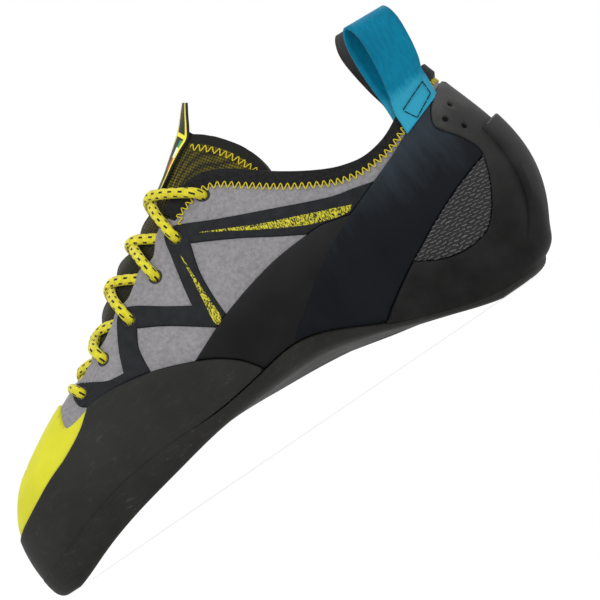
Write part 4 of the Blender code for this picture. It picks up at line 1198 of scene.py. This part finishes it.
# lace, one length through both rows of eyelets; its ends stop under the top ones
laceForm = {
    "half": 2.08, "flat": 1.35, "broad": 2.35, "over": 2.15, "under": -1.7, "hidden": -3.3, "end": (-69.6, 66.4),
    "apexes": [(-7.2, 2.0), (-23.3, 0.7), (-39.8, -0.1), (-55.2, -0.9), (-67.2, 0.5)],  # x, upper strand's height
    "bar": (-73.6, -0.6),
    "edges": [(10.5, 98.5), (-13.3, 95.0), (-28.3, 86.4), (-45.7, 77.0), (-60.4, 69.7)],  # where a strand comes out
    "fine": 0.5, "step": 0.75, "around": 14, "soften": 5, "samples": 60, "leastEdge": 2.8, "topLift": 0.4,
    "rise": [(0, -1.4, 0), (1.1, 0.8, 0)], "clear": 2.7,  # reach, height and press on the way out of an eyelet
    "sink": (0, -1.9, 0.2), "sinkEnds": (1.6, -2.5), "press": 0.7, "tail": [(0, -3.6, 0), ("end", -1.5, 0)],
}


def quarterTop(spots, side):  # height of the quarter's edge
    line = np.array([p for p in borders["throat"] if p[0] < -7] + borders["cuffTop"], float)
    top = np.interp(spots[:, 0], line[:, 0], line[:, 1])
    return top - (collarDrop(spots[:, 0], spots[:, 1]) if side > 0 else 0.0)


def lay(side, a, b, marks):  # a run over one side; marks give reach, height and how flat it is pressed
    ends = spotsAt(np.array([a, b]), side)
    place = nearestOn(np.linspace(ends[0], ends[1], laceForm["samples"]), side)
    place[[0, -1]] = a, b
    spots = spotsAt(place, side)
    reach = reachOf(spots)
    leaves = reach[int(np.argmax(spots[:, 2] > quarterTop(spots, side)))]
    known = {"edge": max(leaves, laceForm["leastEdge"]), "end": reach[-1]}
    at = [known[m[0]] if isinstance(m[0], str) else m[0] if m[0] >= 0 else reach[-1] + m[0] for m in marks]
    height, press = (np.interp(reach, at, [m[k] for m in marks]) for k in (1, 2))
    return np.column_stack([layerAt(place, side, height), normalsAt(place, side), press])


def upFrom(over, high, press):  # out of an eyelet, over the quarter's edge and up
    return laceForm["rise"] + [(laceForm["clear"], over, 0), ("edge", over, 0), ("end", high, press)]


def laceHalf(side):
    form = laceForm
    holes = {s: onSide(eyelets, s) for s in bothSides}
    edges = {s: onSide(form["edges"], s) for s in bothSides}
    tails = {s: onSide([form["end"]], s)[0] for s in bothSides}
    deep, low = form["hidden"], form["under"]
    hidden = [form["sink"]] + [(reach, deep, 1) for reach in form["sinkEnds"]] + [("end", low, form["press"])]
    parts = []
    for k, (x, high) in enumerate(form["apexes"]):
        crest = crestAt(x)
        near, far = (side, -side) if k % 2 == 0 else (-side, side)
        if (k % 2 == 0) != (side < 0):
            high -= 2 * form["flat"]  # the strand beneath
        rising = upFrom(form["over"] + (form["topLift"] if k == 0 else 0.0), high, 1)
        emerging = [(0, low, form["press"]), ("end", high, 1)]
        if k == 0:
            hole = holes[near][0]
            parts += [lay(near, hole, hole + [0.0, nudge], form["tail"]), lay(near, hole, crest, rising)]
        else:
            parts += [lay(near, edges[near][k], crest, emerging)]
        if k + 1 < len(form["apexes"]):
            hole = holes[far][k + 1]
            parts += [lay(far, hole, crest, rising)[::-1], lay(far, hole, edges[far][k + 1], hidden)]
        else:
            bar = upFrom(form["over"], form["bar"][1], 0)
            parts += [lay(far, tails[far], crest, emerging)[::-1], lay(far, holes[far][-1], tails[far], hidden)[::-1]]
            parts += [lay(far, holes[far][-1], crestAt(form["bar"][0]), bar)]
    return np.vstack(parts)


def even(points, step):  # spaced evenly along the first three columns
    reach = reachOf(points[:, :3])
    share = np.linspace(0.0, reach[-1], int(reach[-1] / step) + 1)
    return np.stack([np.interp(share, reach, column) for column in points.T], axis=1)


turning = {"least": 0.35, "pace": 0.25}  # how a tube's way up follows the shoe


def tubeRows(spine, ups, wide, tall, around):  # rings along a line, the first way up kept
    angle = np.linspace(0.0, 2 * math.pi, around + 1)[:, None]
    rows, up = [], ups[0]
    for k, t in enumerate(unit(np.gradient(spine, axis=0))):
        up = unit(up - up.dot(t) * t)
        flat = ups[k] - ups[k].dot(t) * t
        size = np.linalg.norm(flat)
        if size > turning["least"]:  # turned slowly to lie flat on the shoe
            up = unit(up + turning["pace"] * size * (flat / size * (1 if flat.dot(up) >= 0 else -1) - up))
        rows.append(spine[k] + np.cos(angle) * wide[k] * np.cross(t, up) + np.sin(angle) * tall[k] * up)
    return rows


def closeTube(bm):
    bmesh.ops.remove_doubles(bm, verts=bm.verts, dist=joins["tube"])
    bmesh.ops.holes_fill(bm, edges=[edge for edge in bm.edges if edge.is_boundary], sides=0)
    bmesh.ops.recalc_face_normals(bm, faces=bm.faces)


def makeLace():
    form = laceForm
    path = even(np.vstack([laceHalf(-1), laceHalf(1)[::-1]]), form["fine"])
    for _ in range(form["soften"]):
        path[1:-1] = 0.25 * path[:-2] + 0.5 * path[1:-1] + 0.25 * path[2:]
    path = even(path, form["step"])
    press = path[:, 6]
    wide, tall = (form["half"] + press * (form[name] - form["half"]) for name in ("broad", "flat"))
    bm = bmesh.new()
    bm.loops.layers.uv.new("UVMap")
    loft(bm, tubeRows(path[:, :3], path[:, 3:6], wide, tall, form["around"]))
    closeTube(bm)
    length = (len(path) - 1) * form["step"]
    crossings = ["lace_crossing_" + str(k) for k in range(1, 6)]
    newPiece("lace", bm, laceFinish(length), crossings + ["lace_toe_bar"])
    print("lace", round(length), "mm")


makeLace()

# low rims round the eyelets; radius and height
rim = {"profile": [(2.25, -0.5), (2.3, 0.2), (2.5, 0.38), (2.8, 0.3), (2.92, -0.1)], "count": 18}


def makeRims():
    bm = bmesh.new()
    for side in bothSides:
        for k, (x, z) in enumerate(eyelets):
            base = layers["stay"] if k % 2 else 0.0  # every other one is on the eyestay
            loft(bm, [layerAt(closed(ringOf(x, z, side, radius, rim["count"])), side, height + base)
                      for radius, height in rim["profile"]])
    closeUp(bm)
    newPiece("eyeletRims", bm, rimFilm)


makeRims()

# pull loops, a ribbon sewn to each side of the heel
loopForm = {
    "base": [((88.6, 73.0), (106.1, 79.0), 1.3), ((88.8, 77.5), (106.0, 82.6), 1.5), ((88.9, 82.0), (106.0, 86.4), 1.9)],
    "stand": [(90, 3.4), (95, 5.4), (100, 6.6), (105, 7.1), (110, 7.1), (114, 6.3), (117.4, 4.4), (119.4, 1.9),
              (119.9, 0.0), (119.4, -1.9), (117.4, -4.4), (114, -6.2), (110, -6.8), (105, -6.8), (100, -6.2), (95, -5.2),
              (90, -4.3), (85, -3.8), (79, -3.8)],  # height, and depth from the ribbon's middle
    "middle": (97.6, 17.6), "lean": 0.08, "leanFrom": 85.0, "out": (0.455, 0.89), "width": 18.8, "cloth": 1.2,
    "across": 9, "steps": 5,
    "tilt": [(86, 96, 120), (0.26, 0.06, -0.05)],
    "levels": [79, 88, 94, 112], "shift": {-1: [0, 0, 0, 0], 1: [0.4, 0.9, -0.6, -3.6]},  # the far loop leans
    "box": [(91.9, 81.3), (103.4, 86.0), (103.9, 80.6), (95.1, 75.9)],
}


def loopRows(side):
    form = loopForm
    share = np.linspace(0.0, 1.0, form["across"])
    rows = []
    for left, right, height in form["base"]:
        line = np.array(left) + (np.array(right) - left) * share[:, None] + [form["shift"][side][0], 0.0]
        rows.append(layerAt(onSide(line, side), side, height))
    out = np.array([form["out"][0], side * form["out"][1], 0.0])
    for z, depth in form["stand"]:
        x = form["middle"][0] + np.interp(z, form["levels"], form["shift"][side]) + form["lean"] * (z - form["leanFrom"])
        centre = np.array([x, side * form["middle"][1], z]) + depth * out
        across = np.array([out[1] * side, -out[0] * side, np.interp(z, *form["tilt"])])
        rows.append(centre + (share[:, None] - 0.5) * form["width"] * across / np.linalg.norm(across))
    return rows


def makeRibbon(name, rows, form, material, node):
    bm = bmesh.new()
    bm.loops.layers.uv.new("UVMap")
    loft(bm, throughPoints(rows, [form["steps"]] * (len(rows) - 1)))
    bmesh.ops.recalc_face_normals(bm, faces=bm.faces)
    newPiece(name, bm, material, [node], form["cloth"])


makeRibbon("pullLoopMedial", loopRows(-1), loopForm, blueRibbon, "pull_loop_medial")
makeRibbon("pullLoopLateral", loopRows(1), loopForm, greyRibbon, "pull_loop_lateral")

# tongue tab, a narrow ribbon whose end stands up; x and z of its two edges
tabForm = {
    "rear": [(-3.4, 109.4), (2.6, 113.4), (7.6, 117.2), (12.3, 120.8), (15.8, 123.5), (18.7, 126.4), (21.4, 129.4),
             (24.2, 132.4)],
    "front": [(-2.7, 108.3), (2.6, 111.5), (7.4, 114.4), (13.0, 117.3), (17.7, 119.4), (20.3, 122.9), (22.9, 127.4),
              (25.4, 131.5)],
    "sides": (-2.6, -11.0), "cloth": 0.9, "curl": 1.6, "across": 7, "steps": 6,
}


def tabRows():
    share = np.linspace(0.0, 1.0, tabForm["across"])
    curl = share ** tabForm["curl"]
    y = tabForm["sides"][0] + (tabForm["sides"][1] - tabForm["sides"][0]) * share
    edges = zip(tabForm["rear"], tabForm["front"])
    return [np.stack([a[0] + (b[0] - a[0]) * curl, y, a[1] + (b[1] - a[1]) * curl], axis=1) for a, b in edges]


makeRibbon("tongueTab", tabRows(), tabForm, tabRibbon, "tongue_tab")
print("lace, loops and tab made")

# stitches
sewing = {
    "pitch": 2.8, "swing": 1.25, "thread": 0.26, "samples": 8, "around": 6, "collarLift": 0.5, "tongueLift": -1.6,
    "tongue": [(16.5, 117.4), (20.8, 113.9), (24.8, 109.5), (28.4, 103.9), (31.0, 98.6), (32.8, 93.5), (33.4, 88.0)],
    "start": [(-2.6, 93.6), (-2.2, 95.4)], "dash": 2.5, "gap": 0.35, "boxThread": 0.2,
    "boxEnds": (0.2, 0.6), "dashSamples": 5,
    "boxLift": [(73, 77.5, 82, 86), (2.0, 2.2, 2.6, 3.0)],
}


def threadTube(bm, spine, ups, radius):
    wide = np.full(len(spine), radius)
    loft(bm, tubeRows(spine, ups, wide, wide, sewing["around"]))


def zigzag(bm, line, side, lift):
    count = int(reachOf(spotsAt(line, side))[-1] / sewing["pitch"]) * sewing["samples"]
    place = along(line, count + 1, side)
    out = normalsAt(place, side)
    place[:, 1] = np.minimum(place[:, 1], underTop)
    centre = layerAt(place, side, lift)
    across = unit(np.cross(out, np.gradient(centre, axis=0)))
    wave = np.sin(np.arange(count + 1) / sewing["samples"] * 2 * math.pi)[:, None]
    threadTube(bm, centre + sewing["swing"] * wave * across, out, sewing["thread"])


def boxSeam(bm, side):  # dashes that hold a loop down
    corners = np.array(loopForm["box"]) + [loopForm["shift"][side][0], 0.0]
    first, last = sewing["boxEnds"]
    for a, b in zip(corners, np.roll(corners, -1, 0)):
        length = np.linalg.norm(b - a)
        for start in np.arange(first, length - last, sewing["dash"] + sewing["gap"]):
            share = np.linspace(start, min(start + sewing["dash"], length), sewing["dashSamples"])[:, None] / length
            line = a + (b - a) * share
            place = onSide(line, side)
            lift = np.interp(line[:, 1], *sewing["boxLift"])
            threadTube(bm, layerAt(place, side, lift), normalsAt(place, side), sewing["boxThread"])


def makeStitches():
    bm = bmesh.new()
    for side in bothSides:
        seam = runsOf[side]["cuffLines"][0]
        if side < 0:  # the medial seam starts at the notch itself
            seam = np.vstack([onSide(smoothLine(sewing["start"]), side), seam[3:]])
        zigzag(bm, seam, side, sewing["collarLift"])
        zigzag(bm, onSide(smoothLine(sewing["tongue"]), side), side, sewing["tongueLift"])
    closeTube(bm)
    newPiece("zigzagStitches", bm, stitchThread)
    bm = bmesh.new()
    for side in bothSides:
        boxSeam(bm, side)
    closeTube(bm)
    newPiece("boxStitches", bm, darkThreadAndHoleShade)


makeStitches()
print("stitches sewn")

# camera, light and floor
view = {"centre": (18.6, 0.0, 43.7), "away": 5000.0, "frame": 232.8,
        "right": (0.8261, 0.0, -0.5635), "up": (0.5635, 0.0, 0.8261), "sensor": 36.0, "far": 100.0}
ground = {"size": 15.0, "below": 0.0003, "paint": (0.16, 0.16, 0.16), "glow": 0.86}  # lit from below, as a light table
lamps = [  # name, place, size, power
    ("key", (-0.5, -0.9, 1.1), 0.9, 7.0),
    ("fill", (0.9, -0.8, 0.6), 1.0, 2.0),
    ("back", (0.3, 1.0, 0.9), 0.8, 4.0),
]
aim = Vector((0.0, 0.0, 0.05))
scene, white = bpy.context.scene, (1.0, 1.0, 1.0, 1.0)


def makeCamera():
    camera = bpy.data.objects.new("camera", bpy.data.cameras.new("camera"))
    right, up = Vector(view["right"]).normalized(), Vector(view["up"]).normalized()
    back = right.cross(up)
    x, y, z = view["centre"]
    camera.matrix_world = Matrix((right, up, back)).transposed().to_4x4()
    camera.matrix_world.translation = (x * mm, (y - view["away"]) * mm, z * mm)
    camera.data.sensor_width = view["sensor"]
    camera.data.lens = view["sensor"] * view["away"] / view["frame"]
    camera.data.clip_end = view["far"]
    scene.collection.objects.link(camera)
    scene.camera = camera


def makeStage():
    bm = bmesh.new()
    bmesh.ops.create_grid(bm, x_segments=1, y_segments=1, size=ground["size"])
    bmesh.ops.translate(bm, vec=(0.0, 0.0, -ground["below"]), verts=bm.verts)
    paint = finish("floorPaint", ground["paint"], 0.9, 0.0)
    shaderOf(paint).inputs["Emission Color"].default_value = white
    shaderOf(paint).inputs["Emission Strength"].default_value = ground["glow"]
    floor = newObject("floor", bm, paint, False)
    scene.world = bpy.data.worlds.new("studio")
    scene.world.use_nodes = True
    sky = scene.world.node_tree.nodes["Background"]
    sky.inputs["Color"].default_value = white
    sky.inputs["Strength"].default_value = 1.0
    scene.view_settings.view_transform = "Standard"
    for name, place, size, power in lamps:
        data = bpy.data.lights.new(name, "AREA")
        data.size = size
        data.energy = power
        lamp = bpy.data.objects.new(name, data)
        lamp.location = place
        lamp.rotation_euler = (aim - Vector(place)).to_track_quat("-Z", "Y").to_euler()
        scene.collection.objects.link(lamp)


makeCamera()
makeStage()
print("stage set")
